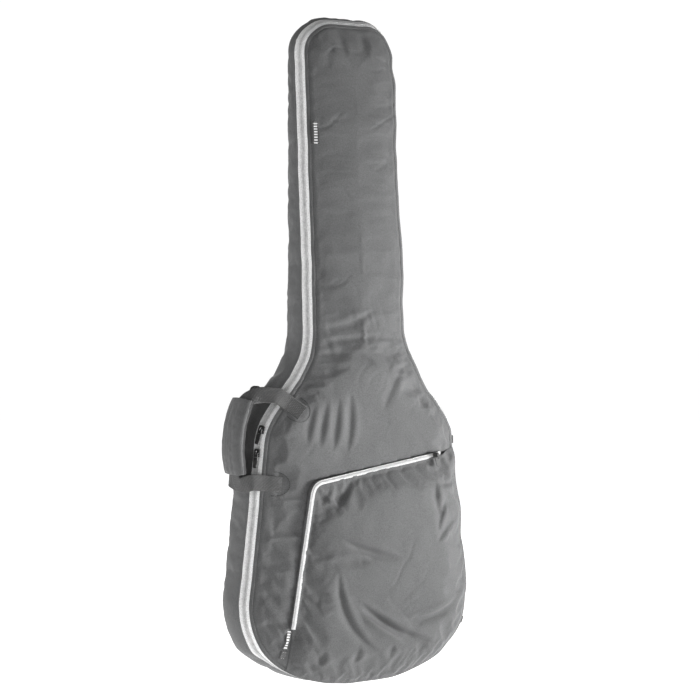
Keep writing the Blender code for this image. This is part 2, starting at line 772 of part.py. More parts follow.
def build_pocket(cover_axis, flap_axis, flap_pivot):
    pivot = COVER_PIVOT
    lower = thicken(lower_pocket_sheet(), FABRIC)
    add_piece("pocket_panel", lower, "shell", pivot, cover_axis)
    add_piece("pocket_wall", pocket_wall(), "gusset", pivot, cover_axis)
    neck_label = surface_label(*NECK_LABEL, LABEL_THICK, 0.0008)
    add_piece("neck_label", neck_label, "label", pivot, cover_axis)
    pocket_label = surface_label(*POCKET_LABEL, LABEL_THICK, 0.0010)
    add_piece("pocket_label", pocket_label, "label", pivot, cover_axis)
    end_tab = surface_label(*POCKET_END_TAB, LABEL_THICK * 2, 0.0010)
    add_piece("pocket_zip_end_tab", end_tab, "webbing", pivot, cover_axis)
    flap = thicken(flap_sheet(), FABRIC)
    add_piece("pocket_flap", flap, "shell", flap_pivot, flap_axis)
    tape = line_solid(GAP, TAPE_WIDTH, -FABRIC, 0.0)
    add_piece("pocket_zip_tape", tape, "zip_tape", flap_pivot, flap_axis)
    coil = line_solid(0.0020, 0.0050, GAP, 0.0015)
    add_piece("pocket_zip_coil", coil, "zip_tape", flap_pivot, flap_axis)


# ------------------------------------------------------------------ sliders and pulls

def slider_body(length, width, plate_low):
    """Slider plate with an arched bridge over it. x crosses the pull, z points out."""
    plate_high = plate_low + 0.0018
    half = length / 2
    side = width / 2
    cut = 0.0015
    outline = ((-side + cut, -half), (side - cut, -half), (side, -half + cut),
               (side, half - cut), (side - cut, half), (-side + cut, half),
               (-side, half - cut), (-side, -half + cut))
    plate = rounded_plate(outline, plate_high - plate_low)
    bmesh.ops.translate(plate, verts=plate.verts, vec=(0.0, 0.0, plate_low))
    top = plate_high + 0.0052
    arch = ((-0.0032, plate_high - 0.0006), (0.0032, plate_high - 0.0006),
            (0.0032, top - 0.0012), (0.0020, top), (-0.0020, top), (-0.0032, top - 0.0012))
    eye = ((-0.0019, plate_high + 0.0003), (0.0019, plate_high + 0.0003),
           (0.0019, top - 0.0018), (0.0010, top - 0.0011), (-0.0010, top - 0.0011),
           (-0.0019, top - 0.0018))
    bridge = rounded_plate(arch, 0.0026, eye)
    stand = Matrix(((0, 0, 1, -0.0013), (1, 0, 0, 0), (0, 1, 0, 0), (0, 0, 0, 1)))
    bmesh.ops.transform(bridge, matrix=stand, verts=bridge.verts)
    return union(plate, bridge)


def pull_tab(length, width):
    """Pull whose cross bar, at the origin, sits in the slider's eye; it hangs along +y."""
    side = width / 2
    end = length
    outline = ((-side, -0.0010), (side, -0.0010), (side, end * 0.55), (side * 0.8, end - 0.0015),
               (side * 0.4, end), (-side * 0.4, end), (-side * 0.8, end - 0.0015),
               (-side, end * 0.55))
    window = ((-0.0024, 0.0009), (0.0024, 0.0009), (0.0024, 0.0070), (-0.0024, 0.0070))
    tab = rounded_plate(outline, 0.0013, window)
    bmesh.ops.translate(tab, verts=tab.verts, vec=(0.0, 0.0, -0.00065))
    return tab


def add_slider(prefix, names, place, turn, parent, size, plate_low, pull_size):
    """A slider and its pull, each with its origin on its own joint axis."""
    body = slider_body(*size, plate_low)
    bmesh.ops.transform(body, matrix=Matrix.Translation(place) @ turn, verts=body.verts)
    slider_axis = add_axis(prefix + "_axis", place, parent)
    add_piece(names[0], body, "metal", place, slider_axis)
    pin = place + turn.to_3x3() @ Vector((0.0, 0.0, plate_low + 0.0018 + 0.0022))
    tab = pull_tab(*pull_size)
    bmesh.ops.transform(tab, matrix=Matrix.Translation(pin) @ turn, verts=tab.verts)
    pull_axis = add_axis(prefix + "_pull_axis", pin, slider_axis)
    add_piece(names[1], tab, "metal", pin, pull_axis)


def band_frame(place):
    """Position on the zip band's middle and the rotation of a slider there."""
    seam_point = offset_point(place, 0.0)
    run = offset_point(place + 0.25, 0.0) - offset_point(place - 0.25, 0.0)
    out = Vector((run.y, 0.0, -run.x)).normalized()
    deep = Vector((0.0, 1.0, 0.0))
    across = out * math.sin(BAND_TILT) + deep * math.cos(BAND_TILT)
    face = out * math.cos(BAND_TILT) - deep * math.sin(BAND_TILT)
    origin = at(seam_point.x, seam_y(seam_point.y), seam_point.y) + across * TAPE_SPLIT
    return origin, turned(across, face)


UPPER_SLIDER = COUNT - 12.75
LOWER_SLIDER = COUNT - 11.72


def build_sliders(cover_axis, flap_axis):
    plate_low = COIL_HEIGHT + GAP * 2
    place, turn = band_frame(UPPER_SLIDER)
    add_slider("upper_slider", ("main_slider_upper", "main_pull_upper"), place, turn,
               cover_axis, MAIN_SLIDER, plate_low, MAIN_PULL)
    place, turn = band_frame(LOWER_SLIDER)
    add_slider("lower_slider", ("main_slider_lower", "main_pull_lower"), place, turn,
               cover_axis, MAIN_SLIDER, plate_low, MAIN_PULL)
    last = len(POCKET_LINE) - 1
    end = line_point(last, 0.0035, 0.0)
    along = (line_point(last - 1, 0.0035, 0.0) - end).normalized()
    face = along.cross(Vector((0.0, 0.0, 1.0))).normalized()
    if face.y > 0:
        face = -face
    turn = turned(along, face)
    add_slider("pocket_slider", ("pocket_slider", "pocket_pull"), end + along * SLIDER_IN, turn,
               flap_axis, POCKET_SLIDER, POCKET_PLATE_LOW, POCKET_PULL)


# ------------------------------------------------------------------ back straps and loop

def back_point(x, lift, h):
    return at(x, BACK_SEAM_Y + BACK_CROWN + lift, h)


def build_shoulder_strap(side, name):
    """One padded strap, its webbing, slide adjuster and sewn tab; side is -1 or 1."""
    path = [back_point(x * side, lift, h) for x, lift, h in SHOULDER_PATH]
    across = [Vector((1.0, 0.0, 0.15 * side))] * len(path)
    add_piece("shoulder_strap_" + name, pad(path, across, 0.050, 0.0100), "shell")
    top = back_point(WEBBING_TOP[0] * side, *WEBBING_TOP[1:])
    foot = back_point(WEBBING_FOOT[0] * side, *WEBBING_FOOT[1:])
    run = (foot - top).normalized()
    wide = Vector((0.0, 1.0, 0.0)).cross(run).normalized()
    face = run.cross(wide).normalized()
    webbing = strap([top, foot], [wide, wide], WEBBING, BACK_WEBBING_THICK)
    add_piece("strap_webbing_" + name, webbing, "webbing")
    tab_top = on_back(0.1170 * side, 0.1160, 0.0026)
    tab_foot = on_back(0.1270 * side, 0.0880, 0.0026)
    tab = strap([tab_foot, tab_top], [wide, wide], 0.036, BACK_WEBBING_THICK)
    add_piece("strap_anchor_" + name, tab, "webbing")
    outline = ((-0.0165, -0.0030), (-0.0150, -0.0045), (0.0150, -0.0045), (0.0165, -0.0030),
               (0.0165, 0.0030), (0.0150, 0.0045), (-0.0150, 0.0045), (-0.0165, 0.0030))
    slot = ((-0.0132, -0.0016), (0.0132, -0.0016), (0.0132, 0.0016), (-0.0132, 0.0016))
    ring = rounded_plate(outline, 0.012, slot)
    start = top.lerp(foot, ADJUSTER_SHARE)
    turn = Matrix((wide, face, wide.cross(face))).transposed().to_4x4()
    bmesh.ops.transform(ring, matrix=Matrix.Translation(start) @ turn, verts=ring.verts)
    axis = add_axis("strap_adjuster_axis_" + name, start)
    add_piece("strap_adjuster_" + name, ring, "plastic", start, axis)


def build_back_fittings():
    yoke = [on_back(x, YOKE_HEIGHT, 0.0020) for x in YOKE_STATIONS]
    upright = Vector((0.0, 0.0, 1.0))
    add_piece("strap_yoke", strap(yoke, [upright] * len(yoke), 0.038, BACK_WEBBING_THICK), "shell")
    for side, name in ((-1, "left"), (1, "right")):
        build_shoulder_strap(side, name)
    half = ((-0.034, None, 0.950), (-0.034, None, 0.982), (-0.0325, 0.0550, 1.006),
            (-0.0255, 0.0600, 1.023), (-0.0130, 0.0600, 1.0321))
    sides = (Vector((1, 0, 0)), Vector((1, 0, 0)), Vector((1, 1, 0)).normalized(),
             Vector((0.1, 1, 0)).normalized(), Vector((0, 1, 0)))
    points = []
    for x, y, h in half:
        points.append(at(x, y, h) if y else on_back(x, h, 0.0036))
    across = list(sides)
    for (x, y, h), side in zip(reversed(half), reversed(sides)):
        points.append(at(-x, y, h) if y else on_back(-x, h, 0.0036))
        across.append(Vector((-side.x, side.y, 0.0)))
    add_piece("hang_loop", strap(points, across, 0.020, 0.0022), "webbing")


# ------------------------------------------------------------------ assembly

build_back_shell()
COVER = add_axis("cover_axis", COVER_PIVOT)
build_front_cover(COVER)
build_handle(COVER)
FLAP_PIVOT = at(FOLD_FOOT.x, FLAP_AXIS_Y, FOLD_FOOT.y)
FLAP = add_axis("flap_axis", FLAP_PIVOT, COVER)
build_pocket(COVER, FLAP, FLAP_PIVOT)
build_sliders(COVER, FLAP)
build_back_fittings()
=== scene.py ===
import math

import bpy
import numpy as np
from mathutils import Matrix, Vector
from mathutils.bvhtree import BVHTree
from mathutils.geometry import delaunay_2d_cdt


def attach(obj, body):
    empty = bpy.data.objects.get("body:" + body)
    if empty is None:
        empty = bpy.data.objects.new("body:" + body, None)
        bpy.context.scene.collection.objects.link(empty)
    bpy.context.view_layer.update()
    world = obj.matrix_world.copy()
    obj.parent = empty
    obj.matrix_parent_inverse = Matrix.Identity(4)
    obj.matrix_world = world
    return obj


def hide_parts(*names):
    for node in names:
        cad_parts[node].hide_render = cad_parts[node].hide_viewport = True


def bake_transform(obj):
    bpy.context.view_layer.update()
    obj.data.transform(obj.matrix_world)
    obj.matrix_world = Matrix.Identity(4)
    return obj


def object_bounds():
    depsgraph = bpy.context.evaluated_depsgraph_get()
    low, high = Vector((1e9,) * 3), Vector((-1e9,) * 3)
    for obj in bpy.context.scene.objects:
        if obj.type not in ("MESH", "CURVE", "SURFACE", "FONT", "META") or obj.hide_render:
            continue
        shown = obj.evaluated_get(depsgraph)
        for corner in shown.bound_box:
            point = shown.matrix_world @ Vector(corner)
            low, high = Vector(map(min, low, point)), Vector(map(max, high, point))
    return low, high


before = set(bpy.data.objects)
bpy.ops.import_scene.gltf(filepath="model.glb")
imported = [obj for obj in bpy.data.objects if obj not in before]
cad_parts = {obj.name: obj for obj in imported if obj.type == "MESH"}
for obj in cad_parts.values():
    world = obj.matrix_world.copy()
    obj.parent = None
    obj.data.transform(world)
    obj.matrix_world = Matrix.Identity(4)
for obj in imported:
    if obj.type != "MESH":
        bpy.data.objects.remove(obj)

CAD_LOW, CAD_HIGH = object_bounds()

# ------------------------------------------------------------------ sizes shared with the CAD (metres)
FRONT_HEIGHT = 1.044
LOWER_HALF = 0.1945
WIDEST_HEIGHT = 0.137
BOTTOM_POWER = 2.3
FLANK_TOP = (0.169, 0.385)
SHOULDER_PULLS = ((0.163, 0.440), (0.084, 0.475))
NECK_START = (0.0825, 0.560)
NECK_HALF = 0.080
HEAD_CORNER = 0.052
PLACES = 56                     # the outline's places, counted from the bottom up the right side
SEWN_PLACES = (6.05, 12.0)
ZIP_PLACES = (12.02, 62.03)

FRONT_SEAM_Y = -0.046
HEAD_SEAM_Y = -0.002
TAPER_HEIGHT = 0.500
BACK_SEAM_Y = 0.038
FRONT_CROWN = 0.016
BACK_CROWN = 0.012
CROWN_RUN = 0.030
BAND_WIDTH = 0.0192
BAND_TILT = math.radians(30)
TUCK_BELOW = math.radians(44)
TUCK_RIGHT = math.radians(16)
TAPE_EDGE = 0.0010
TAPE_SPLIT = 0.0096
GUSSET_BULGE = 0.013
WEBBING = 0.025
WEBBING_THICK = 0.0020
GRIP_Y = -0.015
GRIP_LAYER = 0.0018
FOLD_SPREAD = 0.013
GRIP = ((-0.1935, 0.447), (-0.2050, 0.408), (-0.2085, 0.372), (-0.2030, 0.331))
UPPER_CROSSING = PLACES - 14.9
LOWER_CROSSING = PLACES - 11.0
HANG_POINT = np.array((0.0, 0.060, 1.031))

POCKET_FOOT = np.array((-0.1345, 0.098))
POCKET_CORNER = np.array((-0.101, 0.323))
POCKET_END = np.array((0.134, 0.361))
POCKET_RADIUS = 0.020
POCKET_STAND = 0.0022
POCKET_LIFT = 0.014
POCKET_RUN = 0.040
LINE_FOOT_Y, LINE_CORNER_Y, LINE_END_Y = -0.0695, -0.0755, -0.0680
TAPE_WIDTH = 0.0070
NECK_LABEL = ((-0.0690, 0.849), (-0.0690, 0.885), 0.012)
POCKET_LABEL = ((-0.1395, 0.066), (-0.1345, 0.094), 0.010)
POCKET_END_TAB = ((-0.1430, 0.051), (-0.1400, 0.063), 0.009)

YOKE_HEIGHT = 0.600
SHOULDER_PATH = ((0.032, 0.0085, 0.578), (0.036, 0.0190, 0.545), (0.046, 0.0300, 0.480),
                 (0.058, 0.0335, 0.410), (0.069, 0.0300, 0.340), (0.078, 0.0225, 0.285),
                 (0.084, 0.0160, 0.245))
WEBBING_TOP = (0.0875, 0.0150, 0.2390)
WEBBING_FOOT = (0.1180, 0.0045, 0.1100)
BACK_WEBBING_THICK = 0.0016

# ------------------------------------------------------------------ sizes of the looks (metres)
SEAM_STEP = 0.005
LATTICE = 0.0055
EDGE_RINGS = (0.0, 0.0015, 0.0033, 0.0048, 0.0058, 0.0068, 0.0085, 0.0115)
TOPSTITCH = 0.0058              # the panel's seam groove runs this far inside its edge
TOOTH_PITCH = 0.0023
STITCH_PITCH = 0.0034
FLOOR_DROP = 0.045              # from the lowest point of the bag to the floor
PANEL_GAIN = 1.5                # all the panel's creases are deepened by this
POCKET_GAIN = 2.3
STRAP_PRESS = 0.0070            # the back gives way this much under the strap webbing
BELLY_RISE = 0.004              # the lower body's extra fullness, its height and its spread
BELLY_HEIGHT = 0.230
BELLY_SPREAD = 0.075
SEAM_SINK = 0.0014              # the pocket's sewn sides lie this far off the panel
CHUNK = 1500                    # points measured against a line at one time

CAMERA_LENS = 93.7
CAMERA_SHIFT = (0.0037, -0.0757)
CAMERA_PLACE = (-1.372, -2.640, -0.4225)
CAMERA_TURN = math.radians(28)
WORLD_LIGHT = 0.26
BODY = (0.06, -0.05, -0.74)
MIDDLE = (0.0, 0.0, -0.4)
# name, place, aim, size, power, spread
LIGHTS = (("key", (2.55, -1.65, -0.95), BODY, 0.9, 17.0, 0.84),
          ("front", (-0.6, -3.0, -0.6), BODY, 1.5, 2.2, 1.6),
          ("top", (0.4, -0.8, 1.9), MIDDLE, 1.4, 0.6, 2.6),
          ("left", (-2.4, 0.2, -0.3), (0.0, 0.0, -0.5), 1.2, 5, 2.4),
          ("back", (1.0, 2.8, 0.3), (0.0, 0.0, -0.6), 1.4, 14, 2.4))


# ------------------------------------------------------------------ camera, lights and floor

def at(x, y, h):
    """World position of a point given in bag coordinates."""
    return np.stack(np.broadcast_arrays(x - HANG_POINT[0], y - HANG_POINT[1],
                                        h - HANG_POINT[2]), axis=-1).astype(float)


def beside(points, normals, out, y):
    """World points at some distance out of the seam and some depth."""
    return at(points[:, 0] + normals[:, 0] * out, y, points[:, 1] + normals[:, 1] * out)


def add_light(name, place, aim, size, power, spread):
    data = bpy.data.lights.new(name, "AREA")
    data.shape = "DISK"
    data.size = size
    data.energy = power
    data.spread = spread
    light = bpy.data.objects.new(name, data)
    bpy.context.scene.collection.objects.link(light)
    light.location = place
    light.rotation_euler = (Vector(aim) - Vector(place)).to_track_quat("-Z", "Y").to_euler()


def glowing(name, level, strength):
    """Grey surface that also gives off white light."""
    made = bpy.data.materials.new(name)
    made.use_nodes = True
    inputs = made.node_tree.nodes["Principled BSDF"].inputs
    inputs["Base Color"].default_value = (level, level, level, 1.0)
    inputs["Emission Color"].default_value = (1.0, 1.0, 1.0, 1.0)
    inputs["Emission Strength"].default_value = strength
    return made


def studio():
    """The camera, the lights, and a white floor and backdrop."""
    scene = bpy.context.scene
    data = bpy.data.cameras.new("camera")
    data.lens = CAMERA_LENS
    data.shift_x, data.shift_y = CAMERA_SHIFT
    camera = bpy.data.objects.new("camera", data)
    scene.collection.objects.link(camera)
    camera.location = CAMERA_PLACE
    ahead = Vector((math.sin(CAMERA_TURN), math.cos(CAMERA_TURN), 0.0))
    camera.rotation_euler = ahead.to_track_quat("-Z", "Y").to_euler()
    scene.camera = camera
    scene.view_settings.view_transform = "Standard"

    world = bpy.data.worlds.new("world")
    world.use_nodes = True
    background = world.node_tree.nodes["Background"]
    background.inputs["Color"].default_value = (1.0, 1.0, 1.0, 1.0)
    background.inputs["Strength"].default_value = WORLD_LIGHT
    scene.world = world

    for light in LIGHTS:
        add_light(*light)

    pale = glowing("pale_floor", 0.93, 0.92)
    pale.node_tree.nodes["Principled BSDF"].inputs["Roughness"].default_value = 0.9
    bpy.ops.mesh.primitive_circle_add(vertices=64, radius=7.0, fill_type="NGON")
    floor = bpy.context.object
    floor.name = "floor"
    floor.location.z = CAD_LOW.z - FLOOR_DROP
    floor.data.materials.append(pale)

    bpy.ops.mesh.primitive_uv_sphere_add(segments=48, ring_count=24, radius=9.0)
    backdrop = bpy.context.object
    backdrop.name = "backdrop"
    backdrop.data.materials.append(glowing("backdrop_white", 0.0, 1.0))
    for ray in ("diffuse", "glossy", "transmission", "shadow"):
        setattr(backdrop, "visible_" + ray, False)


# ------------------------------------------------------------------ materials

class Nodes:
    """Small helper that adds and links the nodes of one material."""

    def __init__(self, name, colour, roughness, metallic=0.0):
        self.material = bpy.data.materials.new(name)
        self.material.use_nodes = True
        self.tree = self.material.node_tree
        self.shader = self.tree.nodes["Principled BSDF"]
        self.set({"Base Color": (*colour, 1.0), "Roughness": roughness, "Metallic": metallic})
        self.material.diffuse_color = (*colour, 1.0)

    def add(self, kind, inputs=(), **settings):
        node = self.tree.nodes.new("ShaderNode" + kind)
        for key, value in settings.items():
            setattr(node, key, value)
        for key, value in dict(inputs).items():
            if isinstance(value, bpy.types.NodeSocket):
                self.tree.links.new(value, node.inputs[key])
            else:
                node.inputs[key].default_value = value
        return node

    def math(self, operation, first, second):
        return self.add("Math", {0: first, 1: second}, operation=operation).outputs[0]

    def set(self, values):
        for key, value in values.items():
            self.shader.inputs[key].default_value = value

    def link(self, output, socket):
        self.tree.links.new(output, self.shader.inputs[socket])

    def place(self, by_uv=True):
        if by_uv:
            return self.add("UVMap", uv_map="cloth").outputs["UV"]
        return self.add("TexCoord").outputs["Object"]

    def waves(self, vector, pitch, direction, distortion=0.0):
        """Bands of one pitch in metres across U (X) or V (Y)."""
        return self.add("TexWave", {"Vector": vector, "Scale": 0.31416 / pitch,
                                    "Distortion": distortion, "Detail": 1.0,
                                    "Detail Scale": 1.0},
                        wave_type="BANDS", bands_direction=direction).outputs["Fac"]

    def noise(self, vector, size, detail=3.0, roughness=0.55):
        """Soft noise whose features are about size metres."""
        return self.add("TexNoise", {"Vector": vector, "Scale": 1.0 / size, "Detail": detail,
                                     "Roughness": roughness}).outputs["Fac"]

    def tint(self, factor, dark, light, low=0.3, high=0.7):
        ramp = self.add("ValToRGB", {"Fac": factor})
        ramp.color_ramp.elements[0].position = low
        ramp.color_ramp.elements[0].color = (*dark, 1.0)
        ramp.color_ramp.elements[1].position = high
        ramp.color_ramp.elements[1].color = (*light, 1.0)
        return ramp.outputs["Color"]

    def mix(self, factor, first, second, blend="MIX"):
        node = self.add("Mix", {0: factor, 6: first, 7: second}, data_type="RGBA",
                        blend_type=blend)
        return node.outputs[2]

    def bump(self, height, distance, strength, before=None):
        inputs = {"Height": height, "Distance": distance, "Strength": strength}
        if before is not None:
            inputs["Normal"] = before
        return self.add("Bump", inputs).outputs["Normal"]


def grey(level, warm=0.0):
    """A near-neutral colour; warm above zero leans it to brown and below zero to blue."""
    return (level * (1 + warm), level, level * (1 - warm))


def fabric(name, level, pitch, weave=0.35, sheen=0.25, roughness=0.72, mottle=0.10, warm=-0.01):
    """Plain-woven polyester: crossed threads, faint mottling, soft sheen and rubbed patches."""
    made = Nodes(name, grey(level, warm), roughness)
    uv = made.place()
    space = made.place(by_uv=False)
    warp = made.waves(uv, pitch, "X", 0.4)
    weft = made.waves(uv, pitch, "Y", 0.4)
    cross = made.math("MAXIMUM", warp, weft)
    broad = made.noise(space, 0.055, 3.0)
    fine = made.noise(space, 0.0016, 2.0, 0.7)
    base = made.tint(broad, grey(level * (1 - mottle), warm), grey(level * (1 + mottle), warm))
    speckle = made.tint(fine, (0.80, 0.80, 0.80), (1.16, 1.16, 1.16), 0.35, 0.65)
    threads = made.tint(cross, (0.86, 0.86, 0.86), (1.05, 1.05, 1.05), 0.3, 0.9)
    colour = made.mix(1.0, base, speckle, "MULTIPLY")
    made.link(made.mix(1.0, colour, threads, "MULTIPLY"), "Base Color")
    rub = made.add("Math", {0: broad, 1: 0.18, 2: roughness - 0.09}, operation="MULTIPLY_ADD")
    made.link(rub.outputs[0], "Roughness")
    weave_bump = made.bump(cross, 0.00025, weave)
    cockle = made.noise(space, 0.012, 2.0)
    made.link(made.bump(cockle, 0.0012, 0.16, weave_bump), "Normal")
    made.set({"Sheen Weight": sheen, "Sheen Roughness": 0.45, "Specular IOR Level": 0.35})
    return made.material


def ribbed(name, level, across, along, sheen=0.2, roughness=0.78, warm=0.0):
    """Heavy webbing: rows of yarn along it, with short cross threads between."""
    made = Nodes(name, grey(level, warm), roughness)
    uv = made.place()
    space = made.place(by_uv=False)
    rows = made.waves(uv, across, "X")
    picks = made.waves(uv, along, "Y", 0.6)
    slant = made.waves(uv, along * 1.6, "DIAGONAL")
    yarn = made.math("MULTIPLY", rows, made.math("ADD", picks, slant))
    fuzz = made.noise(space, 0.0012, 3.0, 0.7)
    broad = made.noise(space, 0.03, 2.0)
    base = made.tint(broad, grey(level * 0.88, warm), grey(level * 1.12, warm))
    shade = made.tint(yarn, (0.72, 0.72, 0.72), (1.15, 1.15, 1.15), 0.1, 0.9)
    colour = made.mix(1.0, base, shade, "MULTIPLY")
    fluff = made.tint(fuzz, (0.85, 0.85, 0.85), (1.18, 1.18, 1.18), 0.35, 0.65)
    made.link(made.mix(1.0, colour, fluff, "MULTIPLY"), "Base Color")
    made.link(made.bump(yarn, 0.0005, 0.55), "Normal")
    made.set({"Sheen Weight": sheen, "Specular IOR Level": 0.3})
    return made.material


def moulded(name, level, roughness, metallic=0.0, wear=0.35, warm=0.0):
    """Cast metal or moulded plastic: fine grain, smudged gloss and lighter worn places."""
    made = Nodes(name, grey(level, warm), roughness, metallic)
    space = made.place(by_uv=False)
    smudge = made.noise(space, 0.006, 4.0, 0.6)
    grain = made.noise(space, 0.0006, 2.0, 0.6)
    light = min(level * (1 + wear), 1.0)
    made.link(made.tint(smudge, grey(level * 0.85, warm), grey(light, warm)), "Base Color")
    rough = made.tint(smudge, (roughness * 0.75,) * 3, (min(roughness * 1.3, 1.0),) * 3)
    made.link(rough, "Roughness")
    made.link(made.bump(grain, 0.0001, 0.35), "Normal")
    return made.material


def thread(name, level):
    """Twisted sewing thread."""
    made = Nodes(name, grey(level), 0.6)
    space = made.place(by_uv=False)
    twist = made.noise(space, 0.0008, 2.0)
    made.link(made.tint(twist, grey(level * 0.75), grey(level * 1.25)), "Base Color")
    made.set({"Sheen Weight": 0.2})
    return made.material


def woven_label(name):
    """Blank satin-woven tag: dark ground with a pale row of plain dashes down its middle."""
    made = Nodes(name, grey(0.05), 0.6)
    uv = made.place()
    satin = made.waves(uv, 0.0007, "Y", 0.8)
    dashes = made.waves(uv, 0.0044, "Y", 0.0)
    across = made.add("SeparateXYZ", {0: uv}).outputs["X"]
    middle = made.math("LESS_THAN", made.math("ABSOLUTE", across, 0.0), 0.0028)
    pattern = made.math("MULTIPLY", middle, made.math("GREATER_THAN", dashes, 0.45))
    ground = made.tint(satin, grey(0.035), grey(0.06))
    made.link(made.mix(pattern, ground, (0.72, 0.72, 0.72, 1.0)), "Base Color")
    made.link(made.bump(satin, 0.0001, 0.4), "Normal")
    made.set({"Sheen Weight": 0.3})
    return made.material


def make_materials():
    return {
        "shell": fabric("shell_polyester", 0.103, 0.0011),
        "shell_back": fabric("back_polyester", 0.106, 0.0011),
        "gusset": fabric("gusset_polyester", 0.128, 0.0011),
        "pocket": fabric("pocket_polyester", 0.096, 0.0011),
        "lining": fabric("lining_taffeta", 0.055, 0.0008, 0.2, 0.35, 0.55, 0.08),
        "binding": fabric("binding_tape", 0.040, 0.0009, 0.5, 0.1, 0.85, 0.06),
        "tape_light": fabric("zip_tape_light", 0.95, 0.0008, 0.45, 0.1, 0.8, 0.05, 0.0),
        "tape_pocket": fabric("zip_tape_pocket", 0.66, 0.0008, 0.45, 0.1, 0.8, 0.05, 0.0),
        "tape_grey": fabric("zip_tape_grey", 0.88, 0.0008, 0.45, 0.1, 0.8, 0.05, 0.0),
        "coil": moulded("zip_coil_nylon", 0.66, 0.42, 0.0, 0.25),
        "coil_light": moulded("pocket_coil_nylon", 0.62, 0.45, 0.0, 0.15),
        "webbing": ribbed("strap_webbing", 0.105, 0.0020, 0.0016),
        "wrap": fabric("grip_polyester", 0.118, 0.0010),
        "metal": moulded("slider_metal", 0.09, 0.42, 1.0, 0.6),
        "plastic": moulded("adjuster_acetal", 0.030, 0.42, 0.0, 0.5),
        "label": woven_label("blank_label"),
        "thread": thread("sewing_thread", 0.085),
        "thread_light": thread("light_thread", 0.42),
    }


# ------------------------------------------------------------------ outline and surfaces

def outline_at(place):
    """Analytic outline of the front seam, in bag coordinates (x, h)."""
    place %= PLACES
    if place > PLACES / 2:
        x, h = outline_at(PLACES - place)
        return -x, h
    if place <= 8:
        turn = math.pi / 2 * place / 8
        rise = max(math.cos(turn), 0.0) ** (2 / BOTTOM_POWER)
        return LOWER_HALF * math.sin(turn) ** (2 / BOTTOM_POWER), WIDEST_HEIGHT * (1 - rise)
    if place <= 12:
        t = (place - 8) / 4
        return (LOWER_HALF + (FLANK_TOP[0] - LOWER_HALF) * t,
                WIDEST_HEIGHT + (FLANK_TOP[1] - WIDEST_HEIGHT) * t)
    if place <= 19:
        t = (place - 12) / 7
        knots = (FLANK_TOP, *SHOULDER_PULLS, NECK_START)
        shares = ((1 - t) ** 3, 3 * t * (1 - t) ** 2, 3 * t * t * (1 - t), t ** 3)
        return tuple(sum(w * k[axis] for w, k in zip(shares, knots)) for axis in (0, 1))
    if place <= 23:
        t = (place - 19) / 4
        top = FRONT_HEIGHT - HEAD_CORNER
        return (NECK_START[0] + (NECK_HALF - NECK_START[0]) * t,
                NECK_START[1] + (top - NECK_START[1]) * t)
    if place <= 27:
        turn = math.pi / 2 * (place - 23) / 4
        return (NECK_HALF - HEAD_CORNER * (1 - math.cos(turn)),
                FRONT_HEIGHT - HEAD_CORNER * (1 - math.sin(turn)))
    return (NECK_HALF - HEAD_CORNER) * (28 - place), FRONT_HEIGHT


def ramp(values, low, high):
    share = np.clip((values - low) / (high - low), 0.0, 1.0)
    return share * share * (3 - 2 * share)


def unit(vectors):
    return vectors / np.maximum(np.linalg.norm(vectors, axis=-1, keepdims=True), 1e-9)


def pairs(x, h):
    """Bag coordinates as one row per point."""
    return np.stack((x, h), axis=1)


def bell(reach, step, ease):
    """Gaussian weights that add up to one."""
    weights = np.exp(-0.5 * (np.arange(-reach, reach + 1) * step / ease) ** 2)
    return weights / weights.sum()


def arc_along(points):
    """Arc length at each point of a path."""
    return np.concatenate(([0.0], np.cumsum(np.linalg.norm(np.diff(points, axis=0), axis=1))))


def read_along(spots, arc, table):
    """The columns of a table read at some arc lengths."""
    return np.stack([np.interp(spots, arc, column) for column in table.T], axis=1)


def value_noise(a, b, size, seed):
    """Smooth random height from -1 to 1 whose lumps are about size metres."""
    table = np.random.RandomState(seed).rand(64, 64) * 2 - 1
    u, v = np.asarray(a) / size, np.asarray(b) / size
    i, j = np.floor(u).astype(int), np.floor(v).astype(int)
    fu, fv = u - i, v - j
    fu, fv = fu * fu * (3 - 2 * fu), fv * fv * (3 - 2 * fv)
    corner = [table[(i + p) % 64, (j + q) % 64] for p in (0, 1) for q in (0, 1)]
    low = corner[0] * (1 - fv) + corner[1] * fv
    high = corner[2] * (1 - fv) + corner[3] * fv
    return low * (1 - fu) + high * fu


def noise_along(arc, size, seed):
    return value_noise(arc, arc * 0, size, seed)


